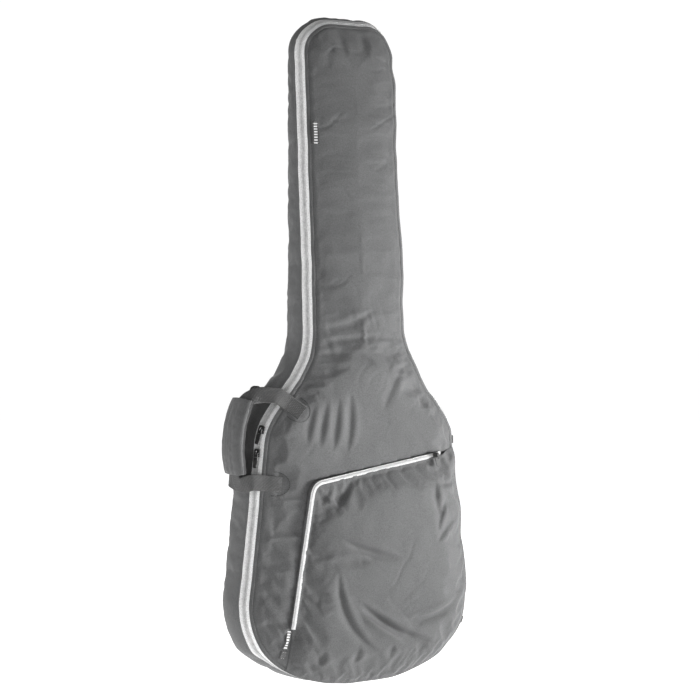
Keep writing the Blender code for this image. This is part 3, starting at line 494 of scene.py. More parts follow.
class Seam:
    """The outline by arc length, eased at its kinks and a little uneven, as a sewn edge is."""

    def __init__(self, step=0.001, ease=0.004):
        places = np.linspace(0.0, PLACES, 8001)
        points = np.array([outline_at(p) for p in places])
        arc = arc_along(points)
        self.length = arc[-1]
        count = int(round(self.length / step))
        self.arc = np.linspace(0.0, self.length, count + 1)[:-1]
        even = read_along(self.arc, arc, points)
        reach = int(4 * ease / step)
        rolled = [np.roll(even, -k, axis=0) for k in range(-reach, reach + 1)]
        self.points = sum(w * r for w, r in zip(bell(reach, step, ease), rolled))
        self.points += self._wobble()
        self.normals = self._outward()
        self.by_place = (places, arc)

    def _outward(self):
        """Outward normals of the points as they are now."""
        along = unit(np.roll(self.points, -3, axis=0) - np.roll(self.points, 3, axis=0))
        return np.stack((along[:, 1], -along[:, 0]), axis=1)

    def _wobble(self):
        """Small swings in and out, nearly none at the middle line, the handle and the sliders."""
        x, h = self.points[:, 0], self.points[:, 1]
        lumps = 0.0016 * noise_along(self.arc, 0.050, 5)
        lumps += 0.0007 * noise_along(self.arc, 0.021, 6)
        quiet = np.clip(np.abs(x) / 0.04, 0, 1) * np.where(x < 0, 0.6, 1.7)
        quiet *= np.where((x < 0) & (np.abs(h - 0.385) < 0.09), 0.15, 1.0)
        return self._outward() * (lumps * quiet)[:, None]

    def at_place(self, place):
        turns, rest = divmod(place, PLACES)
        return np.interp(rest, *self.by_place) + turns * self.length

    def _read(self, table, arc):
        made = [np.interp(arc, self.arc, table[:, k], period=self.length) for k in (0, 1)]
        return np.stack(made, axis=1)

    def sample(self, arc):
        """Points, outward normals and tangents at some arc lengths."""
        normals = unit(self._read(self.normals, arc))
        tangents = np.stack((-normals[:, 1], normals[:, 0]), axis=1)
        return self._read(self.points, arc), normals, tangents

    def loop(self, step=SEAM_STEP):
        count = int(round(self.length / step))
        return np.arange(count) * (self.length / count)

    def run(self, places, step=SEAM_STEP):
        start, end = self.at_place(places[0]), self.at_place(places[1])
        return np.linspace(start, end, max(int(round((end - start) / step)), 2) + 1)


SEAM = Seam()
FINE_POINTS = SEAM.sample(SEAM.loop(0.004))[0]


def distance_to_line(xh, line, closed=False):
    """Distance to a polyline, arc length of the nearest place on it, and the side (-1, 0, 1)."""
    ends = np.roll(line, -1, axis=0) if closed else line[1:]
    starts = line if closed else line[:-1]
    runs = ends - starts
    lengths = np.linalg.norm(runs, axis=1)
    before = np.concatenate(([0.0], np.cumsum(lengths)[:-1]))
    best = np.full(len(xh), 1e9)
    where = np.zeros(len(xh))
    side = np.zeros(len(xh))
    for low in range(0, len(xh), CHUNK):
        part = xh[low:low + CHUNK]
        offset = part[:, None, :] - starts[None, :, :]
        t = np.clip((offset * runs).sum(-1) / np.maximum(lengths ** 2, 1e-12), 0.0, 1.0)
        gap = offset - t[:, :, None] * runs
        found = np.linalg.norm(gap, axis=-1)
        pick = found.argmin(axis=1)
        rows = np.arange(len(part))
        best[low:low + CHUNK] = found[rows, pick]
        where[low:low + CHUNK] = before[pick] + t[rows, pick] * lengths[pick]
        cross = runs[pick, 0] * gap[rows, pick, 1] - runs[pick, 1] * gap[rows, pick, 0]
        side[low:low + CHUNK] = np.sign(cross)
    return best, where, side


def edge_distance(x, h):
    xh = pairs(np.ravel(x), np.ravel(h))
    return distance_to_line(xh, FINE_POINTS, closed=True)[0].reshape(np.shape(x))


def seam_y(h):
    """Plane of the front seam, upright on the body and leaning back up the neck."""
    rise = np.asarray(h, float) - TAPER_HEIGHT
    soft = 0.012 * np.logaddexp(0.0, rise / 0.012)
    return FRONT_SEAM_Y + (HEAD_SEAM_Y - FRONT_SEAM_Y) * soft / (FRONT_HEIGHT - TAPER_HEIGHT)


def belly(x, h):
    """The broad fullness of the lower body, on top of the CAD's plain crown."""
    return BELLY_RISE * np.exp(-(x ** 2 + (h - BELLY_HEIGHT) ** 2) / (2 * BELLY_SPREAD ** 2))


def front_y(x, h):
    crown = FRONT_CROWN * (1 - np.exp(-edge_distance(x, h) / CROWN_RUN))
    return seam_y(h) - crown - belly(x, h)


def back_y(x, h):
    crown = BACK_CROWN * (1 - np.exp(-edge_distance(x, h) / CROWN_RUN))
    return BACK_SEAM_Y + crown


def pocket_line(step=0.002):
    """The pocket zip from its foot, round the corner, to its upper end."""
    def toward(end):
        run = end - POCKET_CORNER
        return POCKET_CORNER + run / np.linalg.norm(run) * POCKET_RADIUS
    bend_start, bend_end = toward(POCKET_FOOT), toward(POCKET_END)
    t = np.linspace(0.0, 1.0, 60)[:, None]
    bend = bend_start * (1 - t) ** 2 + POCKET_CORNER * 2 * t * (1 - t) + bend_end * t * t
    knots = np.vstack((POCKET_FOOT[None], bend, POCKET_END[None]))
    arc = arc_along(knots)
    even = np.linspace(0.0, arc[-1], int(arc[-1] / step))
    points = read_along(even, arc, knots)
    along = unit(np.gradient(points, axis=0))
    inward = np.stack((along[:, 1], -along[:, 0]), axis=1)
    far = np.linalg.norm(points - POCKET_CORNER, axis=1)
    on_foot = np.arange(len(points)) < np.argmin(far)
    foot_run = np.linalg.norm(POCKET_FOOT - POCKET_CORNER)
    end_run = np.linalg.norm(POCKET_END - POCKET_CORNER)
    y = np.where(on_foot, LINE_CORNER_Y + (LINE_FOOT_Y - LINE_CORNER_Y) * far / foot_run,
                 LINE_CORNER_Y + (LINE_END_Y - LINE_CORNER_Y) * far / end_run)
    return points, inward, y, even


LINE, LINE_IN, LINE_DEPTH, LINE_ARC = pocket_line()


def pocket_y(x, h):
    rise = POCKET_STAND + POCKET_LIFT * (1 - np.exp(-edge_distance(x, h) / POCKET_RUN))
    return front_y(x, h) - rise


# ------------------------------------------------------------------ mesh helpers

def add_mesh(name, points, faces, material, loop_uv=None):
    mesh = bpy.data.meshes.new(name)
    mesh.from_pydata(np.asarray(points).tolist(), [], faces)
    if loop_uv is not None:
        layer = mesh.uv_layers.new(name="cloth")
        layer.data.foreach_set("uv", np.asarray(loop_uv, np.float32).ravel())
    mesh.shade_smooth()
    mesh.materials.append(material)
    made = bpy.data.objects.new(name, mesh)
    bpy.context.scene.collection.objects.link(made)
    return made


def coords(piece):
    made = np.empty(len(piece.data.vertices) * 3)
    piece.data.vertices.foreach_get("co", made)
    return made.reshape(-1, 3)


def set_coords(piece, points):
    piece.data.vertices.foreach_set("co", np.asarray(points, np.float32).ravel())
    piece.data.update()


def normals_of(piece):
    made = np.empty(len(piece.data.vertices) * 3)
    piece.data.vertex_normals.foreach_get("vector", made)
    return made.reshape(-1, 3)


def bag_xh(points):
    return points[:, 0] + HANG_POINT[0], points[:, 2] + HANG_POINT[2]


def grid(name, rows, material, u, v, closed_rows=False, closed_columns=False, caps=False):
    """Surface through a grid of points; u and v are metres along its columns and rows."""
    count, width = rows.shape[:2]
    i = np.arange(count if closed_rows else count - 1)
    j = np.arange(width if closed_columns else width - 1)
    i, j = [a.ravel() for a in np.meshgrid(i, j, indexing="ij")]
    i2, j2 = (i + 1) % count, (j + 1) % width
    faces = np.stack((i * width + j, i * width + j2, i2 * width + j2, i2 * width + j), axis=1)
    u = np.append(u, 2 * u[-1] - u[-2])
    v = np.append(v, 2 * v[-1] - v[-2])
    uv = np.stack((np.stack((u[j], v[i]), 1), np.stack((u[j + 1], v[i]), 1),
                   np.stack((u[j + 1], v[i + 1]), 1), np.stack((u[j], v[i + 1]), 1)), axis=1)
    faces, uv = faces.tolist(), uv.reshape(-1, 2)
    if caps:
        first = list(range(width))[::-1]
        last = list(range((count - 1) * width, count * width))
        faces += [first, last]
        ends = [(u[k % width], v[0]) for k in first] + [(u[k % width], v[count - 1]) for k in last]
        uv = np.vstack((uv, np.array(ends)))
    piece = add_mesh(name, rows.reshape(-1, 3), faces, material, uv)
    if closed_columns:
        turn_outward(piece)
    return piece


def turn_outward(piece):
    """Makes the faces of a closed piece look outwards."""
    faces = piece.data.polygons
    centre = Vector(coords(piece).mean(0))
    if sum((face.center - centre).dot(face.normal) * face.area for face in faces) < 0:
        piece.data.flip_normals()


def refine(piece):
    """One round of subdivision, applied."""
    modifier = piece.modifiers.new("refine", "SUBSURF")
    modifier.levels = 1
    modifier.render_levels = 1
    modifier.use_limit_surface = False
    bake(piece)


def bake(piece):
    """Applies the piece's modifiers to its mesh."""
    bpy.context.view_layer.update()
    shown = piece.evaluated_get(bpy.context.evaluated_depsgraph_get())
    mesh = bpy.data.meshes.new_from_object(shown)
    old = piece.data
    piece.modifiers.clear()
    piece.data = mesh
    bpy.data.meshes.remove(old)
    mesh.name = piece.name


def face_towards(piece, direction):
    """Turns the whole sheet so that its faces look along a direction."""
    if (normals_of(piece) @ np.array(direction)).sum() < 0:
        piece.data.flip_normals()


def settle(piece, held, growth, pressure, bending, cap, frames=18):
    rest = coords(piece)
    group = piece.vertex_groups.new(name="held")
    levels = np.round(np.clip(held, 0, 1) * 5) / 5
    for level in np.unique(levels):
        if level > 0:
            group.add(np.nonzero(levels == level)[0].tolist(), float(level), "REPLACE")
    cloth = piece.modifiers.new("settle", "CLOTH")
    settings = cloth.settings
    settings.quality = 5
    settings.mass = 0.2
    settings.air_damping = 4
    settings.tension_stiffness = 25
    settings.compression_stiffness = 25
    settings.shear_stiffness = 10
    settings.bending_stiffness = bending
    settings.shrink_min = -growth
    settings.use_pressure = True
    settings.uniform_pressure_force = pressure
    settings.vertex_group_mass = "held"
    settings.effector_weights.gravity = 0
    cloth.collision_settings.use_collision = False
    cloth.point_cache.frame_start = 1
    cloth.point_cache.frame_end = frames
    scene = bpy.context.scene
    for number in range(1, frames + 1):
        scene.frame_set(number)
    bake(piece)
    scene.frame_set(1)
    piece.vertex_groups.clear()
    moved = coords(piece) - rest
    far = np.linalg.norm(moved, axis=1)
    keep = np.minimum(1.0, cap / np.maximum(far, 1e-9))[:, None]
    set_coords(piece, rest + moved * keep)


def finished(piece, body, slot, *nodes):
    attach(piece, body)
    if nodes:
        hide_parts(*nodes)
    return piece


def sheet_lattice(name, boundary, rings, material, keep_in, surface, spacing=LATTICE):
    """Evenly triangulated sheet inside a closed outline, with extra rings near its edge."""
    low, high = boundary.min(0), boundary.max(0)
    row = spacing * math.sqrt(3) / 2
    hs = np.arange(low[1], high[1] + row, row)
    inner = []
    for k, h in enumerate(hs):
        x = np.arange(low[0] + (k % 2) * spacing / 2, high[0] + spacing, spacing)
        inner.append(np.stack((x, np.full_like(x, h)), axis=1))
    inner = np.vstack(inner)
    inner = inner[keep_in(inner)]
    points = np.vstack((boundary, *rings, inner))
    count = len(boundary)
    edges = [(k, (k + 1) % count) for k in range(count)]
    made = delaunay_2d_cdt([Vector(p) for p in points], edges, [], 1, 1e-7)
    flat = np.array([tuple(p) for p in made[0]])
    faces = [list(f) for f in made[2]]
    uv = flat[np.array(faces).ravel()]
    world = at(flat[:, 0], surface(flat[:, 0], flat[:, 1]), flat[:, 1])
    return add_mesh(name, world, faces, material, uv)


# ------------------------------------------------------------------ creases

def bent_line(start, heading, length, bend, steps=24):
    """A gentle arc from a start: its mean heading and how far it turns, in degrees."""
    turn = np.radians(heading + bend * (np.linspace(0.0, 1.0, steps) - 0.5))
    run = np.stack((np.cos(turn), np.sin(turn)), axis=1) * length / (steps - 1)
    return np.array(start) + np.vstack((np.zeros((1, 2)), np.cumsum(run[:-1], axis=0)))


# A crease is (depth, width, start, heading, length, bend); a negative depth is a ridge.
def panel_creases():
    """A fan of valleys down the shoulder, slants across the neck's foot, and a few small ones."""
    made = [(0.0020, 0.005, (-0.09 + 0.02 * k, 0.44 + 0.005 * k), -104 + 3 * k, 0.06 + 0.01 * k,
             20 - 12 * k) for k in range(4)]
    made += [(0.0022, 0.005, (-0.07, 0.52 + 0.02 * k), 16 * k - 14, 0.09, 40 * k - 45)
             for k in range(3)]
    made += [(0.0015, 0.006, (0.07 + 0.02 * k, 0.50 - 0.03 * k), -120 + 60 * k, 0.08, 20)
             for k in range(2)]
    made += [(0.0013, 0.005, (0.04 * k - 0.02, 1.03), -75, 0.04, 25) for k in range(2)]
    made += [(0.0016, 0.005, (-0.185, 0.15 - 0.05 * k), 10 * k - 5, 0.05, -30) for k in range(2)]
    return made


def pocket_creases():
    """One long valley low on the right with a ridge beside it, and shorter ones round it."""
    made = [(0.0028, 0.005, (-0.02, 0.13), -27, 0.16, 30),
            (-0.0020, 0.005, (-0.02, 0.115), -32, 0.09, 10),
            (0.0022, 0.005, (-0.05, 0.23), -18, 0.10, 20), (0.0015, 0.005, (-0.08, 0.20), -3, 0.08, 0),
            (0.0020, 0.005, (-0.06, 0.18), -60, 0.15, 60), (0.0020, 0.005, (0.06, 0.10), 15, 0.11, 50)]
    made += [(0.0016, 0.005, (0.16 - 0.02 * k, 0.25 + 0.03 * k), -140 + 30 * k, 0.05, 35)
             for k in range(3)]
    made += [(0.0014, 0.005, (-0.07 + 0.03 * k, 0.31), -125, 0.03 + 0.01 * k, 15) for k in range(2)]
    made += [(0.0015, 0.005, (-0.08 + 0.06 * k, 0.06), -100, 0.025, 0) for k in range(3)]
    return made


def smooth_curve(knots, steps=8):
    """Points along a Catmull-Rom curve through a few knots."""
    knots = np.array(knots, float)
    full = np.concatenate((2 * knots[:1] - knots[1:2], knots, 2 * knots[-1:] - knots[-2:-1]))
    made = []
    for k in range(1, len(full) - 2):
        p0, p1, p2, p3 = full[k - 1:k + 3]
        for t in np.arange(steps) / steps:
            made.append(0.5 * (2 * p1 + (p2 - p0) * t + (2 * p0 - 5 * p1 + 4 * p2 - p3) * t ** 2
                               + (3 * p1 - p0 - 3 * p2 + p3) * t ** 3))
    made.append(knots[-1])
    return np.array(made)


def crease_depth(x, h, creases, gain):
    """How far each point is pressed in (positive) or raised by a set of creases."""
    xh = pairs(x, h)
    total = np.zeros(len(xh))
    for depth, width, *path in creases:
        line = bent_line(*path)
        reach = width * 4
        near = np.all((xh > line.min(0) - reach) & (xh < line.max(0) + reach), axis=1)
        if not near.any():
            continue
        length = np.linalg.norm(np.diff(line, axis=0), axis=1).sum()
        gap, where, side = distance_to_line(xh[near], line)
        share = np.clip(where / length, 0.0, 1.0)
        fade = np.sin(np.pi * np.clip(share * 0.96 + 0.02, 0, 1)) ** 0.9
        signed = gap * side / (width * (0.45 + 0.55 * fade))
        valley = np.exp(-np.where(signed > 0, signed, signed * 0.55) ** 2)
        valley -= 0.40 * np.exp(-((signed - 2.1) / 1.3) ** 2)
        total[near] += gain * depth * fade * valley
    return total


def folds(x, h, angle, across, along, seed):
    """Narrow folds that come and go, lying at an angle in degrees to the horizontal."""
    cos, sin = math.cos(math.radians(angle)), math.sin(math.radians(angle))
    run, over = x * cos + h * sin, h * cos - x * sin
    over = over + 0.9 * across * value_noise(run, over, along * 0.6, seed + 1)
    wave = value_noise(run * across / along, over, across, seed)
    patch = ramp(value_noise(x, h, along * 0.9, seed + 2), -0.25, 0.55)
    return patch * (np.exp(-(wave / 0.22) ** 2) - 0.3)


def panel_folds(x, h):
    """Folds that fan out below the neck, slanted ripples on it, and level ones lower down."""
    shoulder = ramp(h, 0.36, 0.42) * (1 - ramp(h, 0.56, 0.62))
    neck = ramp(h, 0.56, 0.64)
    low = 1 - ramp(h, 0.34, 0.42)
    return (0.0011 * folds(x, h, 104, 0.019, 0.095, 31) * shoulder
            + 0.0005 * folds(x, h, 48, 0.016, 0.060, 35) * shoulder
            + 0.0013 * folds(x, h, 35, 0.022, 0.070, 39) * neck
            + 0.0008 * folds(x, h, -20, 0.014, 0.050, 43) * neck
            + 0.0010 * folds(x, h, 12, 0.020, 0.070, 47) * low)


def pocket_folds(x, h):
    return (0.0010 * folds(x, h, -10, 0.024, 0.095, 51) + 0.0007 * folds(x, h, 40, 0.020, 0.070, 55)
            + 0.0005 * folds(x, h, -48, 0.016, 0.060, 59))


# ------------------------------------------------------------------ panels

def seam_rings(distances):
    points, normals, _ = SEAM.sample(SEAM.loop())
    return [points - normals * d for d in distances]


def inside_seam(margin):
    def keep(points):
        gap, _, side = distance_to_line(points, FINE_POINTS, closed=True)
        return (gap > margin) & (side > 0)
    return keep


def add_skirt(piece, sign):
    """Turns the panel's edge inwards so that no light shows between it and the binding."""
    arc = SEAM.loop()
    points, normals, _ = SEAM.sample(arc)
    rows = []
    for inset, depth in ((0.0, 0.0), (0.0008, 0.0030), (0.0022, 0.0075), (0.0055, 0.0100)):
        place = points - normals * inset
        y = (seam_y(place[:, 1]) if sign < 0 else BACK_SEAM_Y) - sign * depth
        rows.append(at(place[:, 0], y, place[:, 1]))
    skirt = grid(piece.name + "_skirt", np.stack(rows, 1), piece.data.materials[0],
                 np.arange(4) * 0.004, arc, closed_rows=True)
    with bpy.context.temp_override(active_object=piece, object=piece,
                                   selected_editable_objects=[piece, skirt]):
        bpy.ops.object.join()


def soft_panel(name, sign, material, surface, creases, growth, seed):
    """Padded panel: lattice, cloth, subdivision, then seam groove, puckers and creases."""
    rings = seam_rings(EDGE_RINGS)
    piece = sheet_lattice(name, rings[0], rings[1:], material,
                          inside_seam(EDGE_RINGS[-1] + 0.004), surface)
    face_towards(piece, (0, sign, 0))
    x, h = bag_xh(coords(piece))
    edge = edge_distance(x, h)
    rest = coords(piece)
    settle(piece, (0.021 - edge) / 0.010, growth, 1.5, 0.8, 0.006)
    moved = coords(piece) - rest
    calm = np.where(under_pocket(x, h) & (sign < 0), 0.25, 1.0) * (1 - 0.75 * ramp(h, 0.50, 0.60))
    moved *= calm[:, None]
    set_coords(piece, rest + moved)
    refine(piece)
    points = coords(piece)
    x, h = bag_xh(points)
    xh = pairs(x, h)
    edge, where, _ = distance_to_line(xh, FINE_POINTS, closed=True)
    groove = 0.0009 * np.exp(-((edge - TOPSTITCH) / 0.0011) ** 2)
    swell = 0.0006 * np.exp(-((edge - TOPSTITCH - 0.005) / 0.0030) ** 2)
    pucker = value_noise(where, edge, 0.011, seed) * np.exp(-((edge - 0.010) / 0.008) ** 2)
    lumps = value_noise(x, h, 0.045, seed + 1) + 0.5 * value_noise(x, h, 0.021, seed + 2)
    inner = np.clip(edge / 0.03, 0, 1)
    depth = groove - swell - 0.0007 * pucker - 0.0008 * lumps * inner
    worn = crease_depth(x, h, creases, PANEL_GAIN) + panel_folds(x, h)
    if sign > 0:
        run = np.array((WEBBING_TOP, WEBBING_FOOT))[:, (0, 2)]
        gap, _, _ = distance_to_line(pairs(np.abs(x), h), run)
        depth += STRAP_PRESS * np.exp(-(gap / 0.026) ** 2)
    depth += worn * np.clip(edge / 0.008, 0, 1)
    points[:, 1] -= sign * depth
    set_coords(piece, points)
    return piece


def under_pocket(x, h):
    """True below and right of the pocket zip."""
    xh = pairs(x, h)
    _, _, side = distance_to_line(xh, LINE)
    low_left = (h < POCKET_FOOT[1]) & (x < POCKET_FOOT[0] - 0.01)
    return (side < 0) & ~low_left & (h < POCKET_END[1] + 0.02)


def tree_of(piece):
    piece.data.calc_loop_triangles()
    polygons = [tuple(t.vertices) for t in piece.data.loop_triangles]
    return BVHTree.FromPolygons(coords(piece).tolist(), polygons)


def surface_points(tree, x, h, sign, lift):
    """Points on a soft panel seen from its outside, and the panel's normals there."""
    points, normals = [], []
    for px, ph in zip(x, h):
        start = Vector((px - HANG_POINT[0], sign * 1.0, ph - HANG_POINT[2]))
        place, normal, _, _ = tree.ray_cast(start, Vector((0, -sign, 0)))
        if place is None:
            place, normal, _, _ = tree.find_nearest(Vector(at(px, sign * 0.03, ph)))
        if normal.y * sign < 0:
            normal = -normal
        points.append(place + normal * lift)
        normals.append(normal)
    return np.array(points), np.array(normals)


def build_panel(side, sign, body, kind, surface, creases, growth, seed):
    """Padded panel with its edge turned in, as a tree to lay things on."""
    piece = soft_panel(side + "_panel_padded", sign, MATERIALS[kind], surface, creases, growth,
                       seed)
    add_skirt(piece, sign)
    finished(piece, body, "shell", side + "_panel", side + "_foam")
    return tree_of(piece)


def lining_panel(name, body, node, sign):
    """Taffeta lining, quilted to the foam behind it."""
    depth = 0.0104

    def surface(x, h):
        face = front_y(x, h) if sign < 0 else back_y(x, h)
        return face - sign * depth
    rings = seam_rings((0.0052, 0.0085))
    piece = sheet_lattice(name, rings[0], rings[1:], MATERIALS["lining"],
                          inside_seam(0.0130), surface, 0.007)
    face_towards(piece, (0, -sign, 0))
    refine(piece)
    points = coords(piece)
    x, h = bag_xh(points)
    spacing = 0.060
    first = np.abs(((x + h) / spacing + 0.5) % 1 - 0.5) * spacing / math.sqrt(2)
    second = np.abs(((x - h) / spacing + 0.5) % 1 - 0.5) * spacing / math.sqrt(2)
    channel = np.minimum(first, second)
    edge = np.clip(edge_distance(x, h) / 0.02 - 0.3, 0, 1)
    puff = 0.0024 * (1 - np.exp(-channel / 0.006)) * edge
    ripple = 0.0006 * value_noise(x, h, 0.015, 53 + sign) * edge
    points[:, 1] -= sign * (puff + ripple - 0.0010)
    set_coords(piece, points)
    return finished(piece, body, "lining", node)


def lining_side():
    arc = SEAM.loop()
    points, normals, _ = SEAM.sample(arc)
    seam = seam_y(points[:, 1])
    start = side_start(seam, arc)
    rows = []
    shares = np.linspace(0.0, 1.0, 9)
    for share in shares:
        y = start + 0.0012 + (BACK_SEAM_Y - start - 0.004) * share
        bow = 0.0034 * math.sin(math.pi * share)
        ripple = 0.0007 * value_noise(arc, y, 0.014, 61) * math.sin(math.pi * share)
        out = -0.0006 + bow + ripple
        rows.append(beside(points, normals, out, y))
    piece = grid("side_lining_taffeta", np.stack(rows, 1), MATERIALS["lining"],
                 shares * 0.06, arc, closed_rows=True)
    refine(piece)
    return finished(piece, "root", "lining", "gusset_lining")


def seam_ribbon(name, places, profile, material, closed_path=False, step=SEAM_STEP):
    """Ribbon with a closed section swept along the seam; profile gives (out, y) columns."""
    arc = SEAM.loop(step) if closed_path else SEAM.run(places, step)
    points, normals, _ = SEAM.sample(arc)
    columns = [beside(points, normals, out, y) for out, y in profile(seam_y(points[:, 1]), arc)]
    rows = np.stack(columns, axis=1)
    across = arc_along(rows[0])
    return grid(name, rows, material, across, arc, closed_rows=closed_path,
                closed_columns=True, caps=not closed_path)


def binding(name, body, node, seat, direction):
    """Grosgrain tape folded over the raw edges inside a seam."""
    def profile(seam, arc):
        base = seam if seat == "front" else BACK_SEAM_Y
        wave = 0.0004 * noise_along(arc, 0.009, 71)
        shape = ((-0.0034, 0.0020), (-0.0014, 0.0020), (-0.0010, 0.0060), (-0.0014, 0.0100),
                 (-0.0024, 0.0108), (-0.0034, 0.0100), (-0.0038, 0.0060))
        return [(out + wave, base + y * direction) for out, y in shape]
    piece = seam_ribbon(name, None, profile, MATERIALS["binding"], closed_path=True)
    return finished(piece, body, "lining", node)


# ------------------------------------------------------------------ zip band and side

def underside(normals):
    """One where the seam faces down, and zero at its sides and top."""
    return ramp(-normals[:, 1], 0.50, 0.98)


def band_tilt(arc):
    """The band faces partly forward at the left and head, less at the right, and tucks in below."""
    _, normals, _ = SEAM.sample(arc)
    return (BAND_TILT - TUCK_BELOW * underside(normals)
            - TUCK_RIGHT * ramp(normals[:, 0], 0.30, 0.85))


def band(u, n, seam, arc):
    """Outward distance and y of a point on the tilted zip band."""
    tilt = band_tilt(arc)
    out = u * np.sin(tilt) + n * np.cos(tilt)
    return out, seam + u * np.cos(tilt) - n * np.sin(tilt)


def band_frames(arc):
    """World frames on the zip band: across it, out of its face, and along it."""
    points, normals, tangents = SEAM.sample(arc)
    seam = seam_y(points[:, 1])
    zero = np.zeros(len(points))
    out = np.stack((normals[:, 0], zero, normals[:, 1]), 1)
    deep = np.array((0.0, 1.0, 0.0))
    tilt = band_tilt(arc)[:, None]
    across = out * np.sin(tilt) + deep * np.cos(tilt)
    face = out * np.cos(tilt) - deep * np.sin(tilt)
    along = np.stack((tangents[:, 0], zero, tangents[:, 1]), 1)
    return at(points[:, 0], seam, points[:, 1]), across, face, along


def capsule(segments=8, rings=4, power=1.0):
    """Unit sphere's points and faces, its poles along X; power below 1 squares it off."""
    points = [(-1.0, 0.0, 0.0)]
    for ring in range(1, rings):
        turn = math.pi * ring / rings
        x, radius = -math.cos(turn), math.sin(turn) ** power
        for k in range(segments):
            angle = 2 * math.pi * k / segments
            points.append((x, radius * math.cos(angle), radius * math.sin(angle)))
    points.append((1.0, 0.0, 0.0))
    faces = []
    for k in range(segments):
        after = (k + 1) % segments
        faces.append((0, 1 + after, 1 + k))
        for ring in range(rings - 2):
            low, high = 1 + ring * segments, 1 + (ring + 1) * segments
            faces.append((low + k, low + after, high + after, high + k))
        last = 1 + (rings - 2) * segments
        faces.append((last + k, last + after, len(points) - 1))
    return np.array(points), faces


def scatter(name, template, places, x_axis, y_axis, z_axis, material):
    """Many copies of one small shape as a single mesh."""
    shape, faces = template
    world = (places[:, None, :] + shape[None, :, 0, None] * x_axis[:, None, :]
             + shape[None, :, 1, None] * y_axis[:, None, :]
             + shape[None, :, 2, None] * z_axis[:, None, :])
    count = len(shape)
    every = [[index + k * count for index in face] for k in range(len(places)) for face in faces]
    return add_mesh(name, world.reshape(-1, 3), every, material)


def stitches(name, line, outward, material, pitch=STITCH_PITCH, length=0.0025, radius=0.00030):
    """Row of thread stitches along a line of points, lying on a surface."""
    arc = arc_along(line)
    spots = np.arange(pitch / 2, arc[-1], pitch)
    centre = read_along(spots, arc, line)
    ahead = read_along(spots + 0.0006, arc, line)
    behind = read_along(spots - 0.0006, arc, line)
    along = unit(ahead - behind)
    out = unit(read_along(spots, arc, outward))
    side = unit(np.cross(out, along))
    out = np.cross(along, side)
    return scatter(name, capsule(6, 4), centre + out * radius * 0.4, along * (length / 2),
                   side * radius, out * radius, material)


def teeth(name, side, material, body, slot, node):
    """One side's nylon coil: slanting loops that meet in the middle of the zip."""
    start, end = SEAM.at_place(ZIP_PLACES[0]), SEAM.at_place(ZIP_PLACES[1])
    arc = np.arange(start + 0.002, end - 0.002, TOOTH_PITCH)
    arc = arc + (TOOTH_PITCH / 2 if side > 0 else 0.0)
    origin, across, face, along = band_frames(arc)
    centre = origin + across * (TAPE_SPLIT + side * 0.0019) + face * 0.0009
    lean = unit(across * side + along * 0.35)
    piece = scatter(name, capsule(8, 5, 0.6), centre, lean * 0.0025,
                    unit(np.cross(face, lean)) * 0.00085, face * 0.0011, material)
    return finished(piece, body, slot, node)


def zip_tape(name, u_low, u_high, material, body, node, places=ZIP_PLACES):
    """Woven zip tape with a slight ripple, a little raised along its middle."""
    def profile(seam, arc):
        ripple = 0.00025 * noise_along(arc, 0.010, 81)
        middle = (u_low + u_high) / 2
        shape = ((u_low, 0.0), (middle, 0.0002), (u_high, 0.0), (u_high, -0.0009),
                 (u_low, -0.0009))
        return [band(u, n + ripple, seam, arc) for u, n in shape]
    piece = seam_ribbon(name, places, profile, material, step=0.004)
    piece.data.set_sharp_from_angle(angle=math.radians(50))
    return finished(piece, body, "zip_tape", node)


def side_start(seam, arc):
    """y where the plain side begins, behind the zip band."""
    return seam + BAND_WIDTH * np.cos(band_tilt(arc)) + TAPE_EDGE


def gusset_columns(seam, arc, count=13):
    """Smooth section of the side from the zip band round to the back seam."""
    _, normals, _ = SEAM.sample(arc)
    start = side_start(seam, arc)
    rest = BACK_SEAM_Y - start
    full = 1 - 0.80 * underside(normals)
    outs = (BAND_WIDTH * np.sin(band_tilt(arc)), GUSSET_BULGE * full, GUSSET_BULGE * full,
            0.0090 * full, 0.0012)
    depths = (start, start + rest * 0.30, start + rest * 0.62, BACK_SEAM_Y - 0.0060,
              BACK_SEAM_Y - 0.0004)
    knots = [np.stack(np.broadcast_arrays(outs[k], y + seam * 0), 1)
             for k, y in enumerate(depths)]
    curve = smooth_curve(np.stack(knots), 8)
    pick = np.linspace(0, len(curve) - 1, count)
    low = np.floor(pick).astype(int)
    high = np.minimum(low + 1, len(curve) - 1)
    share = (pick - low)[:, None, None]
    return curve[low] * (1 - share) + curve[high] * share


